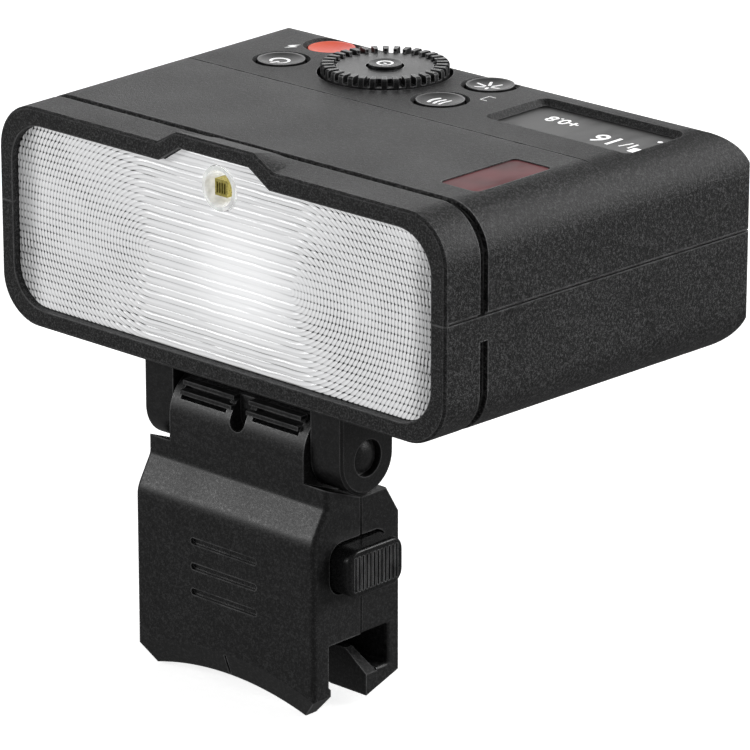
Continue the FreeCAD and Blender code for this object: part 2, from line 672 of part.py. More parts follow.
def make_top_shell():
    body = new_body("top_shell", head=True)
    shell_blank(body, True)
    face = new_sketch(body, "bump_face", "XZ")
    outline(face, [("-bump_base", "crown - bezel_ring / 2"), ("bump_base", "crown - bezel_ring / 2"),
                   ("bump_base", "crown - edge_break"), ("bump_ridge", "crown + bump_rise"),
                   ("-bump_ridge", "crown + bump_rise"), ("-bump_base", "crown - edge_break")])
    tail = new_sketch(body, "bump_tail_face", "XZ", "-groove_start")
    outline(tail, [("-bump_base", "crown - bezel_ring / 2"), ("bump_base", "crown - bezel_ring / 2"),
                   ("bump_base", "crown - edge_break"), ("bump_tail", "crown + edge_break / 2"),
                   ("-bump_tail", "crown + edge_break / 2"), ("-bump_base", "crown - edge_break")])
    bump = body.newObject("PartDesign::AdditiveLoft", "bump")
    bump.Profile = face
    bump.Sections = [tail]
    bump.Ruled = True
    body.Tip = bump
    window = new_sketch(body, "window_face", "XZ")
    window_outline(window, "0")
    pocket(body, "window", window, "bezel_depth + inner_start", False)
    groove = new_sketch(body, "groove_face", "XZ", "-groove_start")
    groove_path(groove, True)
    pocket(body, "groove", groove, "groove_width", False)
    bosses = new_sketch(body, "boss_plan", "XY")
    for side, back in boss_spots():
        circle(bosses, f"{side} * boss_across", back, "boss_radius")
    pad(body, "bosses", bosses, "crown - wall / 2")
    pilots = new_sketch(body, "pilot_plan", "XY")
    for side, back in boss_spots():
        circle(pilots, f"{side} * boss_across", back, "screw_radius")
    pocket(body, "pilots", pilots, "screw_grip + 1")
    cut_controls(body)
    seam_groove(body)
    socket = new_sketch(body, "socket_face", "XZ", "-(head_depth - wall - 1)")
    rectangle(socket, "-socket_across", "main_high + board_thick + socket_high / 2",
              "socket_wide + 2 * seat_gap", "socket_high + 2 * seat_gap",
              "socket_high / 2 - edge_break")
    pocket(body, "socket_hole", socket, "wall + 2", False)

    def front_edge(edge):
        span = edge.BoundBox
        crown = number("crown")
        rim = span.ZMax > crown + 0.01 or max(-span.XMin, span.XMax) > number("bump_ridge")
        return flat_at(edge, "Y", 0) and span.ZMax > crown - 0.01 and rim
    soften(body, "Chamfer", "front_break", "edge_break", front_edge)


def cut_controls(body):
    """Openings in the top for the buttons, the dial, the display and the sensor."""
    holes = new_sketch(body, "button_plan", "XY", "crown + 1")
    for x in ("-column_left", "column_right"):
        for y in ("row_front", "row_back"):
            circle(holes, x, y, "button_radius + free_gap")
    circle(holes, "-dial_across", "dial_back", "hub_radius + running_gap")
    pocket(body, "button_holes", holes, "wall + 2", False)
    well = new_sketch(body, "well_plan", "XY", "crown")
    circle(well, "-dial_across", "dial_back", "dial_well")
    pocket(body, "well", well, "well_deep", False)
    crease = new_sketch(body, "crease_plan", "XY", "crown")
    rectangle(crease, "0", "crease_start", "2 * crease_half", "crease_width")
    pocket(body, "crease", crease, "crease_deep", False)
    frame = new_sketch(body, "display_plan", "XY", "crown")
    rectangle(frame, "display_across", "display_back", "display_wide", "display_deep", "display_corner")
    recess = pocket(body, "display_recess", frame, "display_sink", False)
    recess.setExpression("TaperAngle", linked("-display_slope"))
    seat = new_sketch(body, "pane_plan", "XY", "crown - display_sink")
    pane_outline(seat, "0")
    pocket(body, "pane_seat", seat, "pane_thick", False)
    view = new_sketch(body, "view_plan", "XY", "crown - display_sink")
    pane_outline(view, "pane_ledge")
    pocket(body, "view", view, "wall + 1", False)
    sensor = new_sketch(body, "sensor_plan", "XY", "crown")
    rectangle(sensor, "sensor_across", "sensor_back", "sensor_wide", "sensor_deep", "sensor_corner")
    pocket(body, "sensor_seat", sensor, "sensor_sink + sensor_thick", False)
    sight = new_sketch(body, "sight_plan", "XY", "crown")
    rectangle(sight, "sensor_across", "sensor_back", "sensor_wide - 2 * pane_ledge",
              "sensor_deep - 2 * pane_ledge")
    pocket(body, "sight", sight, "wall + 1", False)
    hole = number("button_radius + free_gap")

    def hole_rim(edge):
        round_rim = flat_at(edge, "Z", number("crown")) and isinstance(edge.Curve, Part.Circle)
        return round_rim and abs(edge.Curve.Radius - hole) < 0.01
    soften(body, "Chamfer", "hole_breaks", "hole_break", hole_rim)


def pane_outline(sketch, inset):
    """The display's window, at the foot of the recess's slopes."""
    loss = f"2 * (display_sink * tan(display_slope * 1deg) + {inset})"
    rectangle(sketch, "display_across", "display_back", f"display_wide - {loss}", f"display_deep - {loss}")


def make_bottom_shell():
    body = new_body("bottom_shell", head=True)
    shell_blank(body, False)
    window = new_sketch(body, "window_face", "XZ")
    window_outline(window, "0")
    pocket(body, "window", window, "bezel_depth + inner_start", False)
    groove = new_sketch(body, "groove_face", "XZ", "-groove_start")
    groove_path(groove, False)
    pocket(body, "groove", groove, "groove_width", False)
    bosses = new_sketch(body, "boss_plan", "XY")
    for side, back in boss_spots():
        circle(bosses, f"{side} * boss_across", back, "boss_radius")
    pad(body, "bosses", bosses, "belly - wall / 2", False)
    pilots = new_sketch(body, "screw_plan", "XY")
    for side, back in boss_spots():
        circle(pilots, f"{side} * boss_across", back, "screw_radius + seat_gap")
    pocket(body, "screw_holes", pilots, "belly + 1", False)
    sinks = new_sketch(body, "sink_plan", "XY", "-belly")
    for side, back in boss_spots():
        circle(sinks, f"{side} * boss_across", back, "screw_head + seat_gap")
    pocket(body, "screw_sinks", sinks, "screw_sink")
    yoke = new_sketch(body, "yoke_screw_plan", "XY", "-belly")
    for side, shift in yoke_screw_spots():
        circle(yoke, ear_middle(side), f"-head_front + {shift} * yoke_screw_apart", "screw_radius + seat_gap")
    pocket(body, "yoke_screw_holes", yoke, "wall + 1")
    pins = new_sketch(body, "stand_plan", "XY", "-belly + wall / 2")
    for across in ("-1", "1"):
        for back in ("power_front + 2", "power_front + power_deep - 2"):
            circle(pins, f"{across} * (board_half - 2)", back, "stem_radius")
    pad(body, "board_stands", pins, "wall / 2 + power_lift")

    def front_edge(edge):
        low = edge.BoundBox.ZMin < -number("belly") + number("rounding") + 0.01
        return flat_at(edge, "Y", 0) and low and edge.BoundBox.ZMin < -number("belly - bezel_ring / 2")
    soften(body, "Chamfer", "front_break", "edge_break", front_edge)


# ---------------------------------------------------------------- window, reflector, tube, lamp

def make_window():
    body = new_body("fresnel_window", head=True)
    face = new_sketch(body, "face", "XZ", "-lens_recess")
    window_outline(face, "seat_gap")
    pad(body, "plate", face, "lens_thick", False)
    hole = new_sketch(body, "lamp_face", "XZ", "-lens_recess")
    circle(hole, "0", "lamp_high", "lamp_radius + seat_gap")
    pocket(body, "lamp_hole", hole, "lens_thick", False)


def make_reflector():
    body = new_body("reflector", head=True)
    mouth = "bezel_depth + seat_gap"
    side = new_sketch(body, "outside_side", "YZ", "-reflector_half")
    outline(side, [(mouth, "-reflector_low - reflector_radius"),
                   (f"{mouth} + reflector_lip + reflector_radius", "-reflector_low - reflector_radius",
                    "reflector_radius - 0.01"),
                   (f"{mouth} + reflector_lip + reflector_radius", "-reflector_low + reflector_radius",
                    "reflector_radius - 0.01"),
                   (mouth, "-reflector_low + reflector_radius")])
    pad(body, "outside", side, "2 * reflector_half")
    inner = new_sketch(body, "inside_side", "YZ", "-reflector_half + sheet_thick")
    bore = "reflector_radius - sheet_thick"
    outline(inner, [(f"{mouth} - 1", f"-reflector_low - ({bore})"),
                    (f"{mouth} + reflector_lip + {bore}", f"-reflector_low - ({bore})", f"{bore} - 0.01"),
                    (f"{mouth} + reflector_lip + {bore}", f"-reflector_low + {bore}", f"{bore} - 0.01"),
                    (f"{mouth} - 1", f"-reflector_low + {bore}")])
    pocket(body, "inside", inner, "2 * (reflector_half - sheet_thick)")
    ends = new_sketch(body, "tube_side", "YZ", "-reflector_half - 1")
    circle(ends, f"{mouth} + tube_back", "-reflector_low", "tube_radius + seat_gap")
    pocket(body, "tube_holes", ends, "2 * reflector_half + 2")


def make_tube():
    y, z = in_head("bezel_depth + seat_gap + tube_back", "-reflector_low")
    keep("flash_tube", rod("glass", "tube_radius", "2 * tube_half", "-tube_half", y, z, "x"))
    seals = []
    pins = []
    for side in (-1, 1):
        start = f"{side} * reflector_half - (1 - {side}) / 2 * seal_long"
        sleeve = rod("seal_outside", "seal_radius", "seal_long", start, y, z, "x")
        bore = rod("seal_bore", "tube_radius", "seal_long", start, y, z, "x")
        seals.append(less("seal", sleeve, bore))
        tip = f"{side} * tube_half - (1 - {side}) / 2 * electrode_long"
        pins.append(rod("electrode", "electrode_radius", "electrode_long", tip, y, z, "x"))
    keep("tube_seals", together("seals", seals))
    keep("tube_electrodes", together("electrodes", pins))


def make_lamp():
    body = new_body("led_cup", head=True)
    section = new_sketch(body, "section", "YZ")
    back = "lamp_front + lamp_long"
    outline(section, [("lamp_front", "lamp_high + lamp_mouth"), ("lamp_front", "lamp_high + lamp_radius"),
                      (back, "lamp_high + lamp_radius"), (back, "lamp_high + lamp_throat")])
    axis = sketch_axis(section, "0", "lamp_high", back, "lamp_high")
    revolve(body, "Revolution", "cup", section, axis)
    long = "(lamp_long - die_inset + die_thick)"
    y, z = in_head(f"lamp_front + die_inset + {long} / 2", "lamp_high - die_side / 2")
    keep("led_emitter", block("die", "die_side", long, "die_side", "0", y, z))
    y, z = in_head(f"{back} + die_thick + board_thick / 2", "crown - wall - seat_gap - lamp_board_high")
    keep("led_board", block("lamp_plate", "lamp_board_side", "board_thick", "lamp_board_high", "0", y, z))


def sketch_axis(sketch, x1, y1, x2, y2):
    """A construction line for a turned piece's axis, fixed at both ends."""
    line = sketch.addGeometry(Part.LineSegment(FreeCAD.Vector(number(x1), number(y1), 0),
                                               FreeCAD.Vector(number(x2), number(y2), 0)), True)
    pin_point(sketch, line, 1, x1, y1)
    pin_point(sketch, line, 2, x2, y2)
    return "Axis0"


# ---------------------------------------------------------------- controls

def turned(label, x, y, z, steps, dish=None):
    """A turned piece: steps are (radius, height) pairs that go down one side."""
    body = doc.addObject("PartDesign::Body", label)
    place(body, x, y, z)
    keep(label, body)
    section = new_sketch(body, "section", "XZ")
    outline(section, [("0", steps[0][1])] + steps + [("0", steps[-1][1])])
    revolve(body, "Revolution", "turned", section, "V_Axis")
    if dish:
        radius, depth = dish
        hollow = new_sketch(body, "dish_section", "XZ")
        ball = f"(({radius}) ^ 2 / (2 * {depth}) + ({depth}) / 2)"
        top = steps[0][1]
        half_circle(hollow, f"{top} - {depth} + {ball}", ball)
        revolve(body, "Groove", "dish", hollow, "V_Axis")
    return body


def half_circle(sketch, level, radius):
    """The right half of a circle centred on the upright axis, closed along the axis."""
    centre = FreeCAD.Vector(0, number(level), 0)
    arc = Part.ArcOfCircle(Part.Circle(centre, FreeCAD.Vector(0, 0, 1), number(radius)),
                           -math.pi / 2, math.pi / 2)
    bend = sketch.addGeometry(arc, False)
    low = FreeCAD.Vector(0, number(level) - number(radius), 0)
    high = FreeCAD.Vector(0, number(level) + number(radius), 0)
    chord = sketch.addGeometry(Part.LineSegment(high, low), False)
    sketch.addConstraint(Sketcher.Constraint("Coincident", bend, 2, chord, 1))
    sketch.addConstraint(Sketcher.Constraint("Coincident", bend, 1, chord, 2))
    pin_point(sketch, bend, 3, "0", level)
    rule = sketch.addConstraint(Sketcher.Constraint("Radius", bend, number(radius)))
    sketch.setExpression(f"Constraints[{rule}]", linked(radius))
    sketch.addConstraint(Sketcher.Constraint("PointOnObject", chord, 1, -2))
    sketch.addConstraint(Sketcher.Constraint("PointOnObject", chord, 2, -2))


def make_buttons():
    """Four caps with a flange under the top wall and a stem over their switch."""
    under = "-wall - flange_gap"
    foot = "-crown + control_high + board_thick + switch_high + button_travel + free_gap"
    places = {
        "power_button": ("-column_left", "row_front", "button_rise"),
        "test_button": ("-column_left", "row_back", "-test_sink"),
        "mode_button": ("column_right", "row_front", "button_rise"),
        "lamp_button": ("column_right", "row_back", "button_rise"),
    }
    for label, (x, y, top) in places.items():
        head_y, head_z = in_head(y, "crown")
        steps = [("button_radius", top), ("button_radius", under), ("button_flange", under),
                 ("button_flange", f"{under} - flange_thick"), ("stem_radius", f"{under} - flange_thick"),
                 ("stem_radius", foot)]
        body = turned(label, x, head_y, head_z, steps, ("button_radius - edge_break", "button_dish"))
        back = new_sketch(body, "flange_back", "XY", under)
        rectangle(back, "0", "button_radius + seat_gap + button_flange / 2", "2 * button_flange",
                  "button_flange")
        pocket(body, "flange_flat", back, "flange_thick", False)


def make_dial():
    head_y, head_z = in_head("dial_back", "crown")
    face = "dial_rise - dial_dish"
    floor = "-well_deep + free_gap"
    set_bore = "set_radius + free_gap"
    step = f"{face} - set_thick"
    stem_bore = "stem_radius + free_gap"
    end = f"{floor} - hub_long"
    body = doc.addObject("PartDesign::Body", "control_dial")
    place(body, "-dial_across", head_y, head_z)
    keep("control_dial", body)
    section = new_sketch(body, "section", "XZ")
    outline(section, [
        (set_bore, face), ("dial_radius - tooth_long", face), ("dial_radius - tooth_long", "dial_rise"),
        ("dial_radius", "dial_rise", "edge_break"), ("dial_radius", floor), ("hub_radius", floor),
        ("hub_radius", end), (stem_bore, end), (stem_bore, f"{step} - free_gap"),
        (set_bore, f"{step} - free_gap"),
    ])
    revolve(body, "Revolution", "wheel", section, "V_Axis")
    gap = new_sketch(body, "gap_plan", "XY", "dial_rise")
    outline(gap, [("dial_radius - tooth_long - 0.4", "-tooth_gap / 2"), ("dial_radius + 1", "-tooth_gap / 2"),
                  ("dial_radius + 1", "tooth_gap / 2"), ("dial_radius - tooth_long - 0.4", "tooth_gap / 2")])
    first = pocket(body, "gap", gap, "tooth_deep", False)
    ring = body.newObject("PartDesign::PolarPattern", "gaps")
    ring.Originals = [first]
    ring.Axis = (gap, ["N_Axis"])
    ring.Angle = 360
    ring.Occurrences = TEETH
    body.Tip = ring
    top = f"{face} + set_rise"
    foot = "-crown + control_high + board_thick + encoder_high + button_travel + free_gap"
    steps = [("set_radius", top), ("set_radius", f"{top} - set_rise - set_thick + free_gap + button_travel"),
             ("stem_radius", f"{top} - set_rise - set_thick + free_gap + button_travel"),
             ("stem_radius", foot)]
    dish = ("set_radius - edge_break", "button_dish / 2")
    turned("set_button", "-dial_across", head_y, head_z, steps, dish)


def make_display():
    body = new_body("display_window", head=True)
    face = new_sketch(body, "face", "XY", "crown - display_sink - pane_thick")
    pane_outline(face, "seat_gap")
    pad(body, "pane", face, "pane_thick")
    y, z = in_head("display_back", "crown - wall - module_thick")
    keep("display_module", block("module", "module_wide", "module_deep", "module_thick",
                                 "display_across", y, z))
    red = new_body("sensor_window", head=True)
    shape = new_sketch(red, "face", "XY", "crown - sensor_sink - sensor_thick")
    rectangle(shape, "sensor_across", "sensor_back", "sensor_wide - 2 * seat_gap",
              "sensor_deep - 2 * seat_gap", "sensor_corner")
    pad(red, "pane", shape, "sensor_thick")
    y, z = in_head("sensor_back", "crown - wall - module_thick")
    keep("slave_sensor", block("photocell", "sensor_wide - 2", "sensor_wide", "module_thick",
                               "sensor_across", y, z))


# ---------------------------------------------------------------- inside the head

def make_boards():
    middle = "board_front + board_deep / 2"
    y, z = in_head(middle, "control_high")
    keep("control_board", block("control", "2 * board_half", "board_deep", "board_thick", "0", y, z))
    y, z = in_head(middle, "main_high")
    keep("main_board", block("main", "2 * board_half", "board_deep", "board_thick", "0", y, z))
    y, z = in_head("power_front + power_deep / 2", "-belly + wall + power_lift")
    keep("power_board", block("power", "2 * board_half", "power_deep", "board_thick", "0", y, z))
    switches = []
    for x in ("-column_left", "column_right"):
        for back in ("row_front", "row_back"):
            y, z = in_head(back, "control_high + board_thick")
            switches.append(block("switch", "switch_side", "switch_side", "switch_high", x, y, z))
    keep("tact_switches", together("switches", switches))
    y, z = in_head("dial_back", "control_high + board_thick")
    keep("dial_encoder", block("encoder", "encoder_side", "encoder_side", "encoder_high",
                               "-dial_across", y, z))


def make_power_parts():
    deck = "-belly + wall + power_lift + board_thick"
    row = "power_front + power_deep / 2"
    y, z = in_head(row, f"{deck} + capacitor_radius")
    keep("main_capacitor", rod("capacitor", "capacitor_radius", "capacitor_long",
                               "-board_half + 1", y, z, "x"))
    y, z = in_head(row, deck)
    keep("boost_transformer", block("transformer", "transformer_wide", "transformer_deep",
                                    "transformer_high", "transformer_across", y, z))
    keep("trigger_coil", rod("coil", "coil_radius", "coil_high", "coil_across", y, z))
    y, z = in_head("battery_front + battery_deep / 2", "-belly + wall")
    keep("battery_pack", block("battery", "battery_wide", "battery_deep", "battery_high", "0", y, z))


def make_socket():
    """A flat oval charging socket in the back wall, with its contact tongue."""
    level = "main_high + board_thick + socket_high / 2"
    body = new_body("charge_socket", head=True)
    face = new_sketch(body, "face", "XZ", "-(head_depth - socket_inset)")
    rectangle(face, "-socket_across", level, "socket_wide", "socket_high", "socket_high / 2 - edge_break")
    pad(body, "shell", face, "socket_long")
    mouth = new_sketch(body, "mouth", "XZ", "-(head_depth - socket_inset)")
    rectangle(mouth, "-socket_across", level, "socket_wide - 2 * socket_skin",
              "socket_high - 2 * socket_skin", "socket_high / 2 - edge_break - socket_skin")
    pocket(body, "cavity", mouth, "socket_long - socket_floor")
    start = "head_depth - socket_inset - socket_long + socket_floor"
    y, z = in_head(f"{start} + tongue_long / 2", f"{level} - tongue_high / 2")
    keep("socket_tongue", block("tongue", "tongue_wide", "tongue_long", "tongue_high",
                                "-socket_across", y, z))


def make_case_screws():
    """Four screws up through the lower shell into the upper one."""
    screws = []
    for side, back in boss_spots():
        x = f"{side} * boss_across"
        y, z = in_head(back, "-belly + screw_sink - screw_head_high")
        head = rod("screw_head", "screw_head", "screw_head_high", x, y, z)
        y, z = in_head(back, "-belly + screw_sink")
        shank = rod("screw_shank", "screw_radius", "belly - screw_sink + screw_grip", x, y, z)
        y, z = in_head(back, "-belly + screw_sink - screw_head_high")
        slot = block("screw_slot", "slot_long", "slot_wide", "slot_deep", x, y, z)
        screws.append(less("screw", joined("screw_solid", [head, shank]), slot))
    keep("case_screws", together("screws", screws))


# ---------------------------------------------------------------- tilt hinge

def ear_middle(side):
    return f"{side} * (ear_outside + knuckle_half + free_gap) / 2"


def yoke_screw_spots():
    return [(side, shift) for side in ("-1", "1") for shift in ("-1", "1")]


def make_yoke():
    """Two ears under the head, joined by a plate, screwed up into the lower shell."""
    body = new_body("tilt_yoke")
    side = new_sketch(body, "ear_side", "YZ", "-ear_outside")
    top = "seam_height - belly"
    outline(side, [("-ear_radius", "pin_height - ear_radius", "ear_radius - 0.01"),
                   ("ear_radius", "pin_height - ear_radius", "ear_radius - 0.01"),
                   ("ear_radius", top), ("-ear_radius", top)])
    pad(body, "ears", side, "2 * ear_outside")
    between = new_sketch(body, "gap_face", "XZ", "-ear_radius - 1")
    inner = "knuckle_half + free_gap"
    outline(between, [(f"-({inner})", "pin_height - ear_radius - 1"), (inner, "pin_height - ear_radius - 1"),
                      (inner, f"{top} - yoke_plate"), (f"-({inner})", f"{top} - yoke_plate")])
    pocket(body, "gap", between, "2 * ear_radius + 2")
    bore = new_sketch(body, "pin_side", "YZ", "-ear_outside")
    circle(bore, "0", "pin_height", "pin_radius")
    pocket(body, "pin_hole", bore, "2 * ear_outside")
    for sign, along in (("-1", True), ("1", False)):
        well = new_sketch(body, "cap_side", "YZ", f"{sign} * ear_outside")
        circle(well, "0", "pin_height", "cap_well")
        pocket(body, "cap_well", well, "cap_sink", along)
    threads = new_sketch(body, "screw_plan", "XY", top)
    for sign, shift in yoke_screw_spots():
        circle(threads, ear_middle(sign), f"{shift} * yoke_screw_apart", "screw_radius")
    pocket(body, "threads", threads, "yoke_screw_long + 0.5", False)

    def ear_face(edge):
        span = edge.BoundBox
        outer = abs(abs(span.XMin) - number("ear_outside")) < 0.01 and span.XLength < 0.01
        small = isinstance(edge.Curve, Part.Circle) and edge.Curve.Radius < number("cap_well") + 0.01
        return outer and not small and not flat_at(edge, "Z", number(top))
    soften(body, "Chamfer", "ear_break", "edge_break", ear_face)


def make_hinge():
    length = "2 * (ear_outside - cap_sink)"
    keep("hinge_pin", rod("pin", "pin_radius", length, "-ear_outside + cap_sink", "0", "pin_height", "x"))
    sleeve = rod("sleeve_outside", "sleeve_radius", "2 * (knuckle_half - free_gap)",
                 "-knuckle_half + free_gap", "0", "pin_height", "x")
    bore = rod("sleeve_bore", "pin_radius + running_gap", "2 * knuckle_half", "-knuckle_half",
               "0", "pin_height", "x")
    keep("friction_sleeve", less("sleeve", sleeve, bore))
    caps = []
    for side in (-1, 1):
        flat = "cap_sink - cap_stay - cap_dome"
        start = f"{side} * (ear_outside - cap_sink) - (1 - {side}) / 2 * ({flat})"
        disc = rod("cap_disc", "cap_radius", flat, start, "0", "pin_height", "x")
        ball = doc.addObject("Part::Sphere", "cap_ball")
        curve = "(cap_radius ^ 2 / (2 * cap_dome) + cap_dome / 2)"
        bind(ball, Radius=curve)
        place(ball, f"{side} * (ear_outside - cap_stay - {curve})", "0", "pin_height")
        crown = f"{side} * (ear_outside - cap_sink + {flat}) - (1 - {side}) / 2 * cap_dome"
        limit = rod("cap_limit", "cap_radius", "cap_dome", crown, "0", "pin_height", "x")
        dome = doc.addObject("Part::Common", "cap_dome_solid")
        dome.Base = ball
        dome.Tool = limit
        caps.append(joined("cap", [disc, dome]))
    keep("pin_caps", together("caps", caps))
    screws = []
    for sign, shift in yoke_screw_spots():
        x = ear_middle(sign)
        y = f"{shift} * yoke_screw_apart"
        floor = "seam_height - belly + wall"
        tip = f"{floor} - wall - yoke_screw_long"
        shank = rod("yoke_shank", "screw_radius", "wall + yoke_screw_long", x, y, tip)
        head = rod("yoke_head", "screw_head", "yoke_head_high", x, y, floor)
        screws.append(joined("yoke_screw", [shank, head]))
    keep("yoke_screws", together("yoke_screw_group", screws))


# ---------------------------------------------------------------- bracket

def on_side(edge):
    """Whether an edge lies in a side face of the bracket."""
    half = number("bracket_half")
    return flat_at(edge, "X", half) or flat_at(edge, "X", -half)


def seam_side(edge):
    """Whether an edge is the upright side edge at the bracket's seam."""
    return on_side(edge) and flat_at(edge, "Y", number("bracket_seam"))


def foot_cut(body):
    """Trim the foot to the rail ring's curve."""
    arc = new_sketch(body, "rail_face", "XZ", "-rear_face - 1")
    circle(arc, "0", "-rail_centre", "rail_radius")
    pocket(body, "rail_curve", arc, "rear_face + plate_front + 2")


def make_bracket_front():
    body = new_body("bracket_front")
    side = new_sketch(body, "side", "YZ", "-bracket_half")
    outline(side, [
        ("-plate_front", "-plate_low"), ("-slot_half + toe_step", "-plate_low"),
        ("-slot_half + toe_step", "-toe_high"), ("-slot_half", "-toe_high + toe_step"), ("-slot_half", "0"),
        ("bracket_seam", "0"), ("bracket_seam", "rear_top"), ("-knuckle_radius", "shoulder_top"),
        ("-knuckle_radius", "fold_top", "fold_soft / 3"), ("-plate_front", "fold_low", "fold_soft"),
    ])
    pad(body, "block", side, "2 * bracket_half")

    def plate_side(edge):
        return on_side(edge) and edge.BoundBox.YMax < 0.01 - number("knuckle_radius")
    soften(body, "Fillet", "plate_rounding", "plate_soft", plate_side)
    soften(body, "Chamfer", "seam_break", "seam_soft", seam_side)
    neck = new_sketch(body, "knuckle_side", "YZ", "-knuckle_half")
    outline(neck, [("-knuckle_radius", "fold_top"), ("bracket_seam", "fold_top"),
                   ("bracket_seam", "rear_top + free_gap"), ("knuckle_radius", "rear_top + free_gap"),
                   ("knuckle_radius", "pin_height + knuckle_radius", "knuckle_radius - 0.01"),
                   ("-knuckle_radius", "pin_height + knuckle_radius", "knuckle_radius - 0.01")])
    pad(body, "knuckle", neck, "2 * knuckle_half")
    bore = new_sketch(body, "sleeve_side", "YZ", "-knuckle_half - 1")
    circle(bore, "0", "pin_height", "sleeve_radius")
    pocket(body, "sleeve_bore", bore, "2 * knuckle_half + 2")
    foot_cut(body)
    corners = new_sketch(body, "corner_face", "XZ", "plate_front + 1")
    for sign in ("-1", "1"):
        outline(corners, [(f"{sign} * (bracket_half + 0.01)", "-foot_clip_high"),
                          (f"{sign} * (bracket_half + 0.01)", "-plate_low - 1"),
                          (f"{sign} * foot_clip_across", "-plate_low - 1"),
                          (f"{sign} * foot_clip_across", "-foot_clip_low")])
    pocket(body, "foot_corners", corners, "plate_front - slot_half + toe_step + 2", False)
    bevel = new_sketch(body, "bevel_section", "YZ")
    axis = sketch_axis(bevel, "-plate_front - 1", "-rail_centre", "-slot_half", "-rail_centre")
    outline(bevel, [("-plate_front - 0.5", "rail_radius - rail_centre - 1"),
                    ("-plate_front + bevel_deep", "rail_radius - rail_centre - 1"),
                    ("-plate_front + bevel_deep", "rail_radius - rail_centre"),
                    ("-plate_front", "rail_radius - rail_centre + bevel_wide"),
                    ("-plate_front - 0.5", "rail_radius - rail_centre + bevel_wide")])
    revolve(body, "Groove", "bevel", bevel, axis)
    hollow = new_sketch(body, "hollow_face", "XZ", "-bracket_seam")
    inner = "bracket_half - side_wall"
    outline(hollow, [(f"-({inner})", "floor_thick"), (inner, "floor_thick"),
                     (inner, "roof_low"), (f"-({inner})", "roof_low")])
    pocket(body, "hollow", hollow, "bracket_seam + plate_front - front_wall")
    press_opening(body)
    pawl_opening(body)
    posts = new_sketch(body, "post_face", "XZ", "-bracket_seam")
    for sign in ("-1", "1"):
        circle(posts, f"{sign} * bolt_across", "bolt_level", "bolt_boss")
    pad(body, "posts", posts, "bracket_seam + plate_front - front_wall / 2")
    bolt_holes(body, "bolt_radius", "-bracket_seam", "bolt_grip + 0.4", True)
    marks = new_sketch(body, "mark_face", "XZ", "plate_front")
    for index in range(3):
        rectangle(marks, "0", f"mark_top - {index} * mark_pitch", "2 * mark_half", "2 * mark_radius",
                  "mark_radius - 0.01")
    pocket(body, "marks", marks, "mark_deep", False)
    tick = new_sketch(body, "tick_face", "XZ", "plate_front")
    rectangle(tick, "0", "rail_radius - rail_centre + bevel_wide / 2", "tick_wide",
              "bevel_wide - 2 * tick_short")
    pocket(body, "tick", tick, "bevel_deep + 0.2", False)
    knuckle_windows(body)


def knuckle_windows(body):
    """Two barred windows and a slit, open to the front and the top of the knuckle."""
    deep = "knuckle_radius - sleeve_radius - sleeve_skin"
    panes = new_sketch(body, "pane_face", "XZ", "knuckle_radius + 1")
    top = "pin_height + knuckle_radius + 1"
    for sign in ("-1", "1"):
        outline(panes, [(f"{sign} * pane_inner", "pane_floor"), (f"{sign} * pane_outer", "pane_floor"),
                        (f"{sign} * pane_outer", top), (f"{sign} * pane_inner", top)])
    outline(panes, [("-slit_half", "slit_floor", "slit_half - 0.01"),
                    ("slit_half", "slit_floor", "slit_half - 0.01"), ("slit_half", top), ("-slit_half", top)])
    pocket(body, "panes", panes, f"{deep} + 1", False)
    bars = new_sketch(body, "bar_side", "YZ", "-pane_outer")
    for index in (1, 2):
        low = f"pane_floor + {index} * bar_pitch - bar_thick"
        shy = f"-knuckle_radius + {index} * bar_step"
        back = "-sleeve_radius - free_gap"
        outline(bars, [(shy, low), (back, low), (back, f"{low} + bar_thick"), (shy, f"{low} + bar_thick")])
    pad(body, "bars", bars, "2 * pane_outer")
    slit = new_sketch(body, "slit_again", "XZ", "knuckle_radius + 1")
    outline(slit, [("-slit_half", "slit_floor + slit_half"), ("slit_half", "slit_floor + slit_half"),
                   ("slit_half", top), ("-slit_half", top)])
    pocket(body, "slit", slit, f"{deep} + 1", False)


def press_opening(body):
    """Side holes for the release buttons."""
    for sign in ("-1", "1"):
        side = new_sketch(body, "press_plan", "YZ", f"{sign} * (bracket_half + 1)")
        rectangle(side, "0", "press_level", "press_wide + 2 * free_gap", "press_high + 2 * free_gap",
                  "press_corner + free_gap")
        pocket(body, "press_hole", side, "side_wall + 2", sign == "-1")


def pawl_opening(body):
    """The hole in the floor that the pawl drops through."""
    hole = new_sketch(body, "pawl_plan", "XY", "-1")
    rectangle(hole, "0", "0", "2 * (pawl_half + free_gap)", "2 * (pawl_deep + free_gap)")
    pocket(body, "pawl_hole", hole, "floor_thick + 2")


def bolt_spots():
    spots = [(f"{sign} * bolt_across", "bolt_level") for sign in ("-1", "1")]
    return spots + [(f"{sign} * bolt_low_across", "floor_thick / 2") for sign in ("-1", "1")]


def bolt_holes(body, radius, lift, depth, along):
    face = new_sketch(body, "bolt_face", "XZ", lift)
    for x, z in bolt_spots():
        circle(face, x, z, radius)
    pocket(body, "bolt_holes", face, depth, along)


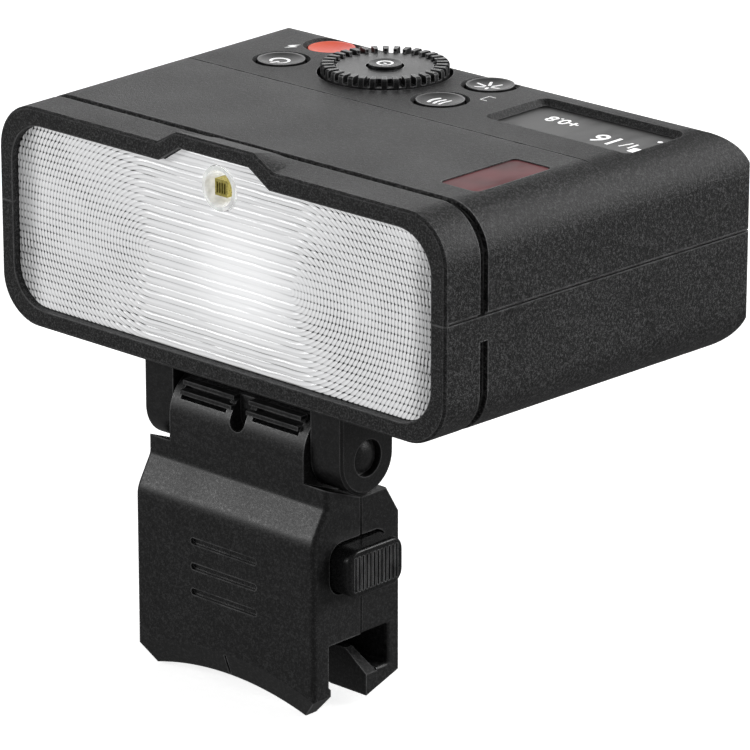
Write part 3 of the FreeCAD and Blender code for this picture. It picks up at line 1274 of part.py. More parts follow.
def make_bracket_rear():
    body = new_body("bracket_rear")
    side = new_sketch(body, "side", "YZ", "-bracket_half")
    outline(side, [
        ("bracket_seam", "0"), ("slot_half", "0"), ("slot_half", "-lip_root", "edge_break"),
        ("jaw_front + lip_thick + 0.5", "-lip_root"), ("jaw_front + lip_thick", "-lip_top"),
        ("jaw_front", "-lip_top"), ("jaw_front", "-jaw_low"), ("rear_face", "-jaw_heel"),
        ("rear_face", "rear_top - rear_slope_low"), ("rear_face - rear_slope_in", "rear_top"),
        ("bracket_seam", "rear_top"),
    ])
    pad(body, "block", side, "2 * bracket_half")

    def rear_side(edge):
        span = edge.BoundBox
        back = number("rear_face") - number("rear_slope_in") + 0.01
        return on_side(edge) and span.YMax > back and span.ZMin > -number("jaw_heel") - 0.01
    soften(body, "Fillet", "rear_rounding", "rear_soft", rear_side)
    soften(body, "Chamfer", "seam_break", "seam_soft", seam_side)
    foot_cut(body)
    hollow = new_sketch(body, "hollow_face", "XZ", "-bracket_seam")
    inner = "bracket_half - side_wall"
    outline(hollow, [(f"-({inner})", "floor_thick"), (inner, "floor_thick"),
                     (inner, "roof_low"), (f"-({inner})", "roof_low")])
    pocket(body, "hollow", hollow, "rear_face - rear_wall - bracket_seam", False)
    press_opening(body)
    pawl_opening(body)
    posts = new_sketch(body, "post_face", "XZ", "-bracket_seam")
    for sign in ("-1", "1"):
        circle(posts, f"{sign} * bolt_across", "bolt_level", "bolt_boss")
    pad(body, "posts", posts, "rear_face - rear_wall / 2 - bracket_seam", False)
    bolt_holes(body, "bolt_radius + seat_gap", "-rear_face - 1", "rear_face + 2", True)
    bolt_holes(body, "bolt_head + seat_gap", "-rear_face", "bolt_sink", True)
    ramps = new_sketch(body, "ramp_face", "XZ", "-jaw_front + 0.5")
    for sign in ("-1", "1"):
        outline(ramps, [(f"{sign} * lip_ramp_start", "-lip_top + 0.01"),
                        (f"{sign} * (bracket_half + 0.5)", "-lip_top + 0.01"),
                        (f"{sign} * (bracket_half + 0.5)", "-lip_top - lip_ramp_fall")])
    pocket(body, "lip_ramps", ramps, "lip_thick + 1.2", False)


def make_bolts():
    screws = []
    for x, z in bolt_spots():
        head = rod("bolt_head", "bolt_head", "bolt_sink - bolt_stay", x, "rear_face - bolt_sink", z, "y")
        shank = rod("bolt_shank", "bolt_radius", "rear_face - bolt_sink - bracket_seam + bolt_grip",
                    x, "bracket_seam - bolt_grip", z, "y")
        slot = block("bolt_slot", "bolt_slot_long", "2 * bolt_slot_deep", "slot_wide",
                     x, "rear_face - bolt_stay", f"{z} - slot_wide / 2")
        screws.append(less("bolt", joined("bolt_solid", [head, shank]), slot))
    keep("bracket_screws", together("bolts", screws))


def make_release_button(label, side):
    """One release button: cap, flange inside the wall and a ramped arm to the pawl."""
    body = new_body(label)
    wall_in = "bracket_half - side_wall"
    sign = str(side)
    start = f"({wall_in} - free_gap)"
    outer = "(bracket_half + press_proud)"
    flange = new_sketch(body, "flange_side", "YZ", f"{sign} * ({start} - press_flange_thick)")
    rectangle(flange, "0", "press_level", "press_wide", "2 * press_flange")
    pad(body, "flange", flange, "press_flange_thick", side > 0)
    cap = new_sketch(body, "cap_side", "YZ", f"{sign} * ({start} - press_flange_thick)")
    rectangle(cap, "0", "press_level", "press_wide", "press_high", "press_corner")
    pad(body, "cap", cap, f"{outer} - {start} + press_flange_thick", side > 0)
    end = number(outer) * side

    def end_rim(edge):
        return flat_at(edge, "X", end)
    soften(body, "Fillet", "end_rounding", "press_soft", end_rim)
    ribs = new_sketch(body, "rib_side", "YZ", f"{sign} * {outer}")
    for index in range(RIBS):
        across = f"({index} - ({RIBS} - 1) / 2) * rib_pitch"
        rectangle(ribs, across, "press_level", "rib_pitch / 2", "2 * rib_half")
    pocket(body, "ribs", ribs, "rib_deep", side < 0)
    arm = new_sketch(body, "arm_face", "XZ", "arm_deep")
    ramp = "pawl_ramp - ramp_gap"
    root = f"{sign} * ({start} - press_flange_thick / 2)"
    outline(arm, [(f"{sign} * arm_tip", "arm_low"), (root, "arm_low"), (root, "arm_high"),
                  (f"{sign} * (arm_high - ({ramp}))", "arm_high"), (f"{sign} * arm_tip", f"arm_tip + {ramp}")])
    pad(body, "arm", arm, "2 * arm_deep", False)


def make_pawl():
    body = new_body("lock_pawl")
    face = new_sketch(body, "face", "XZ", "pawl_deep")
    outline(face, [
        ("-pawl_half", "-pawl_tip + pawl_soft"), ("-pawl_half + pawl_soft", "-pawl_tip"),
        ("pawl_half - pawl_soft", "-pawl_tip"), ("pawl_half", "-pawl_tip + pawl_soft"),
        ("pawl_half", "pawl_half + pawl_ramp"),
        ("pawl_wing", "pawl_wing + pawl_ramp"), ("pawl_wing", "pawl_top"), ("-pawl_wing", "pawl_top"),
        ("-pawl_wing", "pawl_wing + pawl_ramp"), ("-pawl_half", "pawl_half + pawl_ramp"),
    ])
    pad(body, "plate", face, "2 * pawl_deep", False)


def make_spring():
    """The coil spring between the pawl and the roof."""
    high = "roof_low - pawl_top - 2 * wire_radius"
    coil = doc.addObject("Part::Helix", "spring_path")
    bind(coil, Radius="spring_radius", Height=high, Pitch=f"({high}) / spring_turns")
    place(coil, "0", "0", "pawl_top + wire_radius")
    wire = doc.addObject("Part::Circle", "spring_wire")
    wire.Placement = FreeCAD.Placement(FreeCAD.Vector(), FreeCAD.Rotation(FreeCAD.Vector(1, 0, 0), 90))
    bind(wire, Radius="wire_radius")
    place(wire, "spring_radius", "0", "pawl_top + wire_radius")
    sweep = doc.addObject("Part::Sweep", "spring_sweep")
    sweep.Sections = [wire]
    sweep.Spine = (coil, ["Edge1"])
    sweep.Solid = True
    sweep.Frenet = True
    keep("pawl_spring", sweep)


# ---------------------------------------------------------------- build, check and write

make_top_shell()
make_bottom_shell()
make_window()
make_reflector()
make_tube()
make_lamp()
make_buttons()
make_dial()
make_display()
make_boards()
make_power_parts()
make_socket()
make_case_screws()
make_yoke()
make_hinge()
make_bracket_front()
make_bracket_rear()
make_bolts()
make_release_button("release_button_right", 1)
make_release_button("release_button_left", -1)
make_pawl()
make_spring()
doc.recompute()

faults = []
for item in doc.Objects:
    if "Invalid" in item.State or "Error" in item.State:
        faults.append(f"{item.Label} ({item.Name}) failed")
    elif item.TypeId in ("PartDesign::Pocket", "PartDesign::Groove"):
        if item.Shape.Volume > item.BaseFeature.Shape.Volume - 1e-4:
            faults.append(f"{item.Label} ({item.Name}) cuts nothing")
if faults:
    raise RuntimeError("; ".join(faults))
os.makedirs("parts", exist_ok=True)
for label, item in parts.items():
    shape = item.Shape
    if shape.isNull() or not shape.isValid() or not shape.Solids:
        raise RuntimeError(f"{label} has no sound solid")
    shape.exportStep(f"parts/{label}.step")
print(len(parts), "parts written")
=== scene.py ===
"""Compact macro flash head on a rail bracket: materials, fine detail and a soft studio.

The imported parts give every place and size.  Lengths are metres, +Z is up, X goes to the
right and Y backwards, and the origin is the middle of the rail slot's ceiling.
"""

import math

import bmesh
import bpy
from bpy.props import FloatProperty, FloatVectorProperty, IntProperty, PointerProperty
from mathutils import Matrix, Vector
from mathutils.bvhtree import BVHTree


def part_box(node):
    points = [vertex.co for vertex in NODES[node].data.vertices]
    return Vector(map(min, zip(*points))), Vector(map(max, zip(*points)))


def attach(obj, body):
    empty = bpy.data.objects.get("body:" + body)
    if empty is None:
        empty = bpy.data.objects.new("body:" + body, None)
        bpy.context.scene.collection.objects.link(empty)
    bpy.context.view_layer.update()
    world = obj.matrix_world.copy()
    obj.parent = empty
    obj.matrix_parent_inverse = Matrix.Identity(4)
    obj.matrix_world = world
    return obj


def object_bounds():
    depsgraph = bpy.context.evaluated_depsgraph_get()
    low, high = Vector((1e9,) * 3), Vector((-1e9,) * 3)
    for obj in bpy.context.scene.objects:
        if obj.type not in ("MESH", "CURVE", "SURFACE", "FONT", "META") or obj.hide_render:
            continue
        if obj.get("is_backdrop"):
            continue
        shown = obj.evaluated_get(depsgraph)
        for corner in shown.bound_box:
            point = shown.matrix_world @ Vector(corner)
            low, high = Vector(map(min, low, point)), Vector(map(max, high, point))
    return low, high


bl_info = {
    "name": "Macro flash head",
    "version": (1, 0, 0),
    "blender": (4, 5, 0),
    "location": "View3D > Sidebar > Flash head",
    "description": "Dresses the packed flash head and adds its ribs, marks and digits",
    "category": "Object",
}

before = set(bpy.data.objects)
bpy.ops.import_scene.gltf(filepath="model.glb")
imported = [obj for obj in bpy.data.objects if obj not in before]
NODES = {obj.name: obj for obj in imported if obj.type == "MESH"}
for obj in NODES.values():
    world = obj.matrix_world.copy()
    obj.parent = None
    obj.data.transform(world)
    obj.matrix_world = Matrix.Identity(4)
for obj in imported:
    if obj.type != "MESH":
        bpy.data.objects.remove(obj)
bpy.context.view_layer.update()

MM = 0.001
HEAD_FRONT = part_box("top_shell")[0].y
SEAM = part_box("bottom_shell")[1].z
PANE_LOW, PANE_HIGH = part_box("fresnel_window")
LAMP_LOW, LAMP_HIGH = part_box("led_cup")
LAMP_Z = (LAMP_LOW.z + LAMP_HIGH.z) / 2

PANE_CORNER = 5.5 * MM                  # radius of the window opening's corners
PANE_TOP = SEAM + 11.3 * MM             # top of the window beside the notch
NOTCH_HALF = 9.8 * MM                   # half width of the notch at its foot
NOTCH_TAPER = 3.6 * MM                  # how much narrower it is at its top
RING_HEIGHT = SEAM - 1.6 * MM           # height of the rings' middles
DECK_START = HEAD_FRONT + 31.45 * MM    # where the finely grained deck begins
DECK_LEVEL = SEAM + 12.4 * MM           # lowest height that counts as the deck
RIM_DEPTH = 0.2 * MM                    # finely grained band at the front face
MARK_STROKE = 0.42                      # width of the caps' printed strokes, in millimetres


# ---------------------------------------------------------------- settings

def length(name, about, metres):
    return FloatProperty(name=name, description=about, default=metres, unit="LENGTH", precision=5)


def colour(name, about, rgb):
    return FloatVectorProperty(name=name, description=about, default=rgb, size=3, min=0, max=1,
                               subtype="COLOR")


def power(name, about, watts):
    return FloatProperty(name=name, description=about, default=watts, min=0)


def place(name, about, xyz):
    return FloatVectorProperty(name=name, description=about, default=xyz, size=3,
                               subtype="TRANSLATION", unit="LENGTH")


class FlashFinishes(bpy.types.PropertyGroup):
    """Colours and surface sizes of the moulded, metal and clear pieces."""
    shell: colour("Shell", "Moulded black of the head", (0.018, 0.018, 0.0185))
    shell_fleck: colour("Shell fleck", "Light specks of the head's grain", (0.17, 0.17, 0.171))
    bracket: colour("Bracket", "Moulded black of the bracket", (0.014, 0.014, 0.0145))
    bracket_fleck: colour("Bracket fleck", "Light specks of the bracket's grain",
                          (0.1, 0.1, 0.101))
    satin: colour("Satin black", "Buttons and dial", (0.012, 0.012, 0.0125))
    # Painted edge highlight colour, laid along edges in place of the highlights they would catch
    highlight_tone: colour("Painted edge highlight", "Light colour painted along edges as a highlight", (0.42, 0.42, 0.425))
    coarse_grain: length("Coarse grain", "Size of the grain on the head", 0.00017)
    fine_grain: length("Fine grain", "Size of the grain on the controls' deck", 0.00013)
    # Width of the painted edge highlights
    edge: length("Edge", "Width of the painted edge highlights", 0.00038)
    test: colour("Test button", "Lit cap of the test button", (0.82, 0.07, 0.045))
    sensor: colour("Sensor", "Dark red window over the sensor", (0.24, 0.02, 0.03))
    mark: colour("Marks", "Printed signs on caps and deck", (0.86, 0.86, 0.86))


class FlashDetails(bpy.types.PropertyGroup):
    """Sizes of the ribs, marks and digits."""
    row_pitch: length("Row pitch", "Height of one lying rib of the window", 0.00098)
    row_rise: length("Row rise", "How far a lying rib bulges", 0.00011)
    row_steps: IntProperty(name="Row steps", description="Facets over one rib", default=8, min=4)
    ring_pitch: length("Ring pitch", "Spacing of the rings round the lens middle", 0.00058)
    ring_middle: length("Ring middle", "Where the ring arcs are centred, left and right", 0.0125)
    mark_lift: length("Mark lift", "Print thickness over the surface", 0.00003)
    digit_size: length("Digit size", "Height of the large digits", 0.0046)
    small_digit_size: length("Small digit size", "Height of the small digits", 0.0030)


class FlashStage(bpy.types.PropertyGroup):
    """Floor, lights and camera."""
    floor_size: length("Floor", "Half width of the floor, and height of its sweep", 3.0)
    floor: colour("Floor colour", "Pale paper", (0.93, 0.93, 0.93))
    top_light: power("Top light", "Power of the softbox high at the back right", 1.6)
    side_light: power("Side light", "Power of the softbox low at the back right", 2.6)
    front_light: power("Front light", "Power of the softbox at the front left", 2.6)
    back_light: power("Back light", "Power of the softbox at the back left", 0.75)
    camera_at: place("Camera", "Where the camera stands", (0.44896, -0.45889, 0.25284))
    camera_aim: place("Aim", "What the camera looks at", (0.002894, 0.01745, 0.02824))
    camera_lens: FloatProperty(name="Lens", description="Focal length in millimetres on a 36 mm "
                               "sensor", default=250.2, min=20, subtype="DISTANCE_CAMERA")


# ---------------------------------------------------------------- node wiring

class Wiring:
    """Puts nodes in one tree and joins them."""

    def __init__(self, tree):
        self.tree = tree

    def put(self, kind, **settings):
        node = self.tree.nodes.new("ShaderNode" + kind)
        for name, value in settings.items():
            setattr(node, name, value)
        return node

    def join(self, value, socket):
        if isinstance(value, bpy.types.NodeSocket):
            self.tree.links.new(value, socket)
        else:
            socket.default_value = value

    def sum(self, operation, *values, clamp=False):
        node = self.put("Math", operation=operation, use_clamp=clamp)
        for value, socket in zip(values, node.inputs):
            self.join(value, socket)
        return node.outputs[0]

    def vector(self, operation, *values):
        node = self.put("VectorMath", operation=operation)
        for value, socket in zip(values, node.inputs):
            self.join(value, socket)
        return node.outputs["Value" if operation == "DOT_PRODUCT" else "Vector"]

    def mix(self, factor, first, second):
        node = self.put("Mix", data_type="RGBA")
        self.join(factor, node.inputs[0])
        self.join(first, node.inputs[6])
        self.join(second, node.inputs[7])
        return node.outputs[2]

    def ramp(self, value, low, high, out_low=0.0, out_high=1.0):
        node = self.put("MapRange", interpolation_type="SMOOTHSTEP")
        for item, socket in zip((value, low, high, out_low, out_high), node.inputs):
            self.join(item, socket)
        return node.outputs[0]

    def spots(self):
        """The surface's own coordinates."""
        return self.put("TexCoord").outputs["Object"]

    def axes(self):
        """The same coordinates, one axis at a time."""
        apart = self.put("SeparateXYZ")
        self.join(self.spots(), apart.inputs[0])
        return apart.outputs

    def noise(self, where, scale, detail=2.0):
        node = self.put("TexNoise")
        self.join(where, node.inputs["Vector"])
        self.join(scale, node.inputs["Scale"])
        self.join(detail, node.inputs["Detail"])
        return node.outputs[0]

    def effect(self, name, **values):
        """Places a shared group; underscores in a value's name stand for spaces."""
        node = self.put("Group", node_tree=bpy.data.node_groups[name])
        for key, value in values.items():
            self.join(value, node.inputs[key.replace("_", " ")])
        return node


def rgba(values):
    return (*values, 1.0)


def new_effect(name, inputs, outputs):
    tree = bpy.data.node_groups.new(name, "ShaderNodeTree")
    for label, kind, default in inputs:
        socket = tree.interface.new_socket(label, in_out="INPUT", socket_type="NodeSocket" + kind)
        socket.default_value = default
    for label, kind in outputs:
        tree.interface.new_socket(label, in_out="OUTPUT", socket_type="NodeSocket" + kind)
    source = tree.nodes.new("NodeGroupInput").outputs
    return Wiring(tree), source, tree.nodes.new("NodeGroupOutput").inputs


def make_grain_effect():
    """Moulded or ground surface: fine specks over a soft mottle."""
    w, given, out = new_effect(
        "fine grain",
        [("Base", "Color", (0.03, 0.03, 0.03, 1)), ("Fleck", "Color", (0.1, 0.1, 0.1, 1)),
         ("Grain Size", "Float", 0.0002), ("Stretch", "Vector", (1, 1, 1)),
         ("Roughness", "Float", 0.5), ("Unevenness", "Float", 0.5)],
        [("Colour", "Color"), ("Roughness", "Float"), ("Height", "Float")])
    where = w.vector("MULTIPLY", w.spots(), given["Stretch"])
    scale = w.sum("DIVIDE", 1.0, given["Grain Size"])
    small = w.noise(where, scale, 2.0)
    large = w.noise(where, w.sum("MULTIPLY", scale, 0.41), 1.0)
    mottle = w.noise(where, 90.0, 3.0)
    grain = w.sum("ADD", w.sum("MULTIPLY", small, 0.62), w.sum("MULTIPLY", large, 0.38))
    fleck = w.sum("MULTIPLY", w.ramp(grain, 0.46, 0.66), given["Unevenness"])
    flecked = w.mix(fleck, given["Base"], given["Fleck"])
    pits = w.sum("MULTIPLY", w.ramp(grain, 0.47, 0.34), given["Unevenness"])
    pitted = w.mix(pits, flecked, (0.0, 0.0, 0.0, 1))
    tone = w.sum("MULTIPLY_ADD", mottle, 0.4, 0.8)
    toned = w.put("VectorMath", operation="SCALE")
    w.join(pitted, toned.inputs[0])
    w.join(tone, toned.inputs["Scale"])
    w.join(toned.outputs[0], out["Colour"])
    rough = w.sum("MULTIPLY_ADD", w.sum("SUBTRACT", grain, 0.5), 0.5, given["Roughness"])
    rough = w.sum("MULTIPLY_ADD", w.sum("SUBTRACT", mottle, 0.5), 0.16, rough, clamp=True)
    w.join(rough, out["Roughness"])
    w.join(grain, out["Height"])


def make_edge_highlight_effect():
    """Painted highlight along edges: a mask where the bevelled normal turns away from the surface
    normal, on inside and outside edges alike, broken up by noise.
    """
    w, given, out = new_effect(
        "painted edge highlight", [("Width", "Float", 0.0002), ("Amount", "Float", 0.5)], [("Mask", "Float")])
    rounded = w.put("Bevel", samples=6)
    w.join(given["Width"], rounded.inputs["Radius"])
    facing = w.put("NewGeometry").outputs["Normal"]
    turn = w.sum("SUBTRACT", 1.0, w.vector("DOT_PRODUCT", rounded.outputs[0], facing))
    # Painted highlight mask: strongest where the bevelled normal turns most from the surface normal
    edge = w.ramp(turn, 0.008, 0.13)
    patches = w.ramp(w.noise(w.spots(), 420.0, 4.0), 0.32, 0.62, 0.35, 1.0)
    w.join(w.sum("MULTIPLY", w.sum("MULTIPLY", edge, patches), given["Amount"]), out["Mask"])


def make_smudge_effect():
    """Faint wipes and hairlines on glossy pieces."""
    w, given, out = new_effect(
        "wipe marks", [("Roughness", "Float", 0.1), ("Amount", "Float", 0.1)],
        [("Roughness", "Float"), ("Height", "Float")])
    where = w.spots()
    wipes = w.noise(w.vector("MULTIPLY", where, (1.0, 0.35, 1.0)), 260.0, 3.0)
    hairs = w.noise(w.vector("MULTIPLY", where, (1.0, 0.02, 1.0)), 9000.0, 1.0)
    lift = w.sum("MULTIPLY", w.ramp(wipes, 0.42, 0.7), given["Amount"])
    w.join(w.sum("ADD", given["Roughness"], lift), out["Roughness"])
    w.join(w.ramp(hairs, 0.62, 0.7), out["Height"])


# ---------------------------------------------------------------- materials

def start_material(name):
    material = bpy.data.materials.new(name)
    material.use_nodes = True
    w = Wiring(material.node_tree)
    shader = w.tree.nodes["Principled BSDF"]
    return material, w, shader


def set_shader(shader, **values):
    for key, value in values.items():
        shader.inputs[key.replace("_", " ")].default_value = value


def bumped(w, shader, height, distance, strength=1.0):
    bump = w.put("Bump")
    bump.inputs["Strength"].default_value = strength
    bump.inputs["Distance"].default_value = distance
    w.join(height, bump.inputs["Height"])
    w.join(bump.outputs[0], shader.inputs["Normal"])


def both_colours(w, shader, value):
    """Gives a surface and its own light the same colour."""
    w.join(value, shader.inputs["Base Color"])
    w.join(value, shader.inputs["Emission Color"])


def wiped(w, shader, rough, amount):
    """Roughens a glossy surface with wipe marks and returns the height of its hairlines."""
    marks = w.effect("wipe marks", Roughness=rough, Amount=amount)
    w.join(marks.outputs["Roughness"], shader.inputs["Roughness"])
    return marks.outputs["Height"]


def grained(name, base, fleck, grain=0.0002, rough=0.5, uneven=0.5, depth=0.00001, highlight_amount=0.4,
            highlight_tone=(0.2, 0.2, 0.2), edge=0.0002, stretch=(1, 1, 1), **shader_values):
    """A finish made of grain and a painted highlight along its edges, for any opaque piece."""
    material, w, shader = start_material(name)
    set_shader(shader, **shader_values)
    surface = w.effect("fine grain", Base=rgba(base), Fleck=rgba(fleck), Grain_Size=grain,
                       Stretch=stretch, Roughness=rough, Unevenness=uneven)
    edge_highlight_mask = w.effect("painted edge highlight", Width=edge, Amount=highlight_amount).outputs["Mask"]
    # Painted highlight: base colour lightened toward a light tone along edges, and roughness lowered
    # there
    w.join(w.mix(edge_highlight_mask, surface.outputs["Colour"], rgba(highlight_tone)), shader.inputs["Base Color"])
    smoother = w.sum("MULTIPLY", edge_highlight_mask, 0.15)
    w.join(w.sum("SUBTRACT", surface.outputs["Roughness"], smoother, clamp=True),
           shader.inputs["Roughness"])
    bumped(w, shader, surface.outputs["Height"], depth)
    return material


def dress(material, *nodes):
    for name in nodes:
        slots = NODES[name].material_slots
        for slot in slots:
            slot.material = material
        if not slots:
            NODES[name].data.materials.append(material)


def made_mesh(name, work):
    """Turns edited geometry into a mesh and lets go of it."""
    mesh = bpy.data.meshes.new(name)
    work.to_mesh(mesh)
    work.free()
    return mesh


def smooth_faces(mesh):
    for face in mesh.polygons:
        face.use_smooth = True


def new_piece(name, mesh, material, body):
    piece = bpy.data.objects.new(name, mesh)
    bpy.context.scene.collection.objects.link(piece)
    mesh.materials.append(material)
    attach(piece, body)
    return piece


# ---------------------------------------------------------------- printed marks

def surface_of(node):
    mesh = NODES[node].data
    return BVHTree.FromPolygons([v.co for v in mesh.vertices],
                                [p.vertices for p in mesh.polygons])


def arc(x, y, radius, start, stop, steps=18):
    turn = [math.radians(start + (stop - start) * i / steps) for i in range(steps + 1)]
    return [(x + radius * math.cos(a), y + radius * math.sin(a)) for a in turn]


def even_steps(line, step):
    """The same line with a point at least every step."""
    points = [Vector(line[0])]
    for goal in line[1:]:
        goal = Vector(goal)
        start = points[-1].copy()
        count = max(1, math.ceil((goal - start).length / step))
        points += [start.lerp(goal, i / count) for i in range(1, count + 1)]
    return points


def stroke_faces(mesh, line, width):
    """A flat ribbon with round ends along a line."""
    points = even_steps(line, width / 2)
    rims = []
    for i, point in enumerate(points):
        ahead = points[min(i + 1, len(points) - 1)] - points[max(i - 1, 0)]
        across = Vector((-ahead.y, ahead.x)).normalized() * width / 2
        rims.append([mesh.verts.new((*(point + across), 0)), mesh.verts.new((*(point - across), 0))])
    for (a, b), (c, d) in zip(rims, rims[1:]):
        mesh.faces.new((a, b, d, c))
    for rim, point, before in ((rims[0], points[0], points[1]), (rims[-1], points[-1], points[-2])):
        out = (point - before).normalized() * width / 2
        side = Vector((-out.y, out.x))
        turn = [math.pi * i / 6 for i in range(1, 6)]
        cap = [mesh.verts.new((*(point + side * math.cos(a) + out * math.sin(a)), 0)) for a in turn]
        if rim is rims[0]:
            mesh.faces.new([rim[1]] + cap + [rim[0]])
        else:
            mesh.faces.new([rim[0]] + cap + [rim[1]])


def laid_on(mesh, surface, above, lift):
    """Drops every point of a bmesh onto a surface and keeps it just proud of it."""
    for vert in mesh.verts:
        spot = surface.ray_cast(Vector((vert.co.x, vert.co.y, above)), Vector((0, 0, -1)))[0]
        if spot is None:
            raise RuntimeError("a mark lies outside its surface")
        vert.co.z = spot.z + lift


def print_mark(name, node, body, middle, strokes, width, fills=()):
    """Strokes and filled outlines in millimetres, read from behind the head."""
    mesh = bmesh.new()
    for line in strokes:
        stroke_faces(mesh, line, width)
    for outline in fills:
        mesh.faces.new([mesh.verts.new((x, y, 0)) for x, y in outline])
    if fills:
        bmesh.ops.triangulate(mesh, faces=mesh.faces[:])
        bmesh.ops.subdivide_edges(mesh, edges=mesh.edges[:], cuts=2, use_grid_fill=True)
    for vert in mesh.verts:
        vert.co.x = middle[0] - vert.co.x * MM
        vert.co.y = middle[1] - vert.co.y * MM
    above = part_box(node)[1].z + MM
    laid_on(mesh, surface_of(node), above, bpy.context.scene.flash_details.mark_lift)
    bmesh.ops.recalc_face_normals(mesh, faces=mesh.faces[:])
    return new_piece(name, made_mesh(name, mesh), bpy.data.materials["mark print with painted glow"], body)


def digits(name, text, size, left, near, level, body):
    """Numerals on the display, read from behind, starting at their left end."""
    letters = bpy.data.curves.new(name + "_curve", "FONT")
    letters.body = text
    letters.size = size
    letters.extrude = 0.00001
    letters.offset = 0.00004
    source = bpy.data.objects.new(name + "_curve", letters)
    bpy.context.scene.collection.objects.link(source)
    bpy.context.view_layer.update()
    mesh = bpy.data.meshes.new_from_object(source)
    mesh.name = name
    bpy.data.objects.remove(source)
    for vert in mesh.vertices:
        vert.co = (left - vert.co.x, near - vert.co.y, level + vert.co.z)
    return new_piece(name, mesh, bpy.data.materials["lit digits"], body)


# ---------------------------------------------------------------- window

def window_reach(z):
    """Half width of the window opening at a height, without the notch."""
    away = max(PANE_LOW.z + PANE_CORNER - z, z - (PANE_TOP - PANE_CORNER), 0.0)
    return PANE_HIGH.x - PANE_CORNER + math.sqrt(max(PANE_CORNER ** 2 - away ** 2, 0.0))


def notch_reach(z):
    """Half width of the notch at a height."""
    return NOTCH_HALF - NOTCH_TAPER * (z - PANE_TOP) / (PANE_HIGH.z - PANE_TOP)


def ribbed_sheet():
    """The window's face: lying ribs cut round the lamp, in real relief."""
    d = bpy.context.scene.flash_details
    step = d.row_pitch / d.row_steps
    low, top, high = PANE_LOW.z, PANE_TOP, PANE_HIGH.z
    rows = [(z, window_reach(z)) for z in (low + step * i for i in range(int((top - low) / step)))]
    rows.append((top, window_reach(top)))
    notch = [(z, notch_reach(z)) for z in (top + step * i for i in range(int((high - top) / step)))]
    rows += notch + [(high, notch_reach(high))]
    hole = (LAMP_HIGH.x - LAMP_LOW.x) / 2 + 0.05 * MM
    columns = 36
    mesh = bmesh.new()
    for side in (-1, 1):
        before = None
        for z, reach in rows:
            bulge = abs(math.sin(math.pi * (z - low) / d.row_pitch)) ** 0.7
            y = PANE_LOW.y - 0.01 * MM - d.row_rise * bulge
            gap = math.sqrt(max(hole ** 2 - (z - LAMP_Z) ** 2, 0.0))
            xs = [gap + (reach - gap) * i / columns for i in range(columns + 1)]
            row = [mesh.verts.new((side * x, y, z)) for x in xs]
            if before and z - before[0] > step / 10:
                for i in range(columns):
                    mesh.faces.new((before[1][i], before[1][i + 1], row[i + 1], row[i]))
            before = (z, row)
    bmesh.ops.remove_doubles(mesh, verts=mesh.verts[:], dist=1e-7)
    bmesh.ops.recalc_face_normals(mesh, faces=mesh.faces[:])
    if sum(f.normal.y for f in mesh.faces) > 0:
        bmesh.ops.reverse_faces(mesh, faces=mesh.faces[:])
    sheet = made_mesh("window_ribs", mesh)
    smooth_faces(sheet)
    return sheet


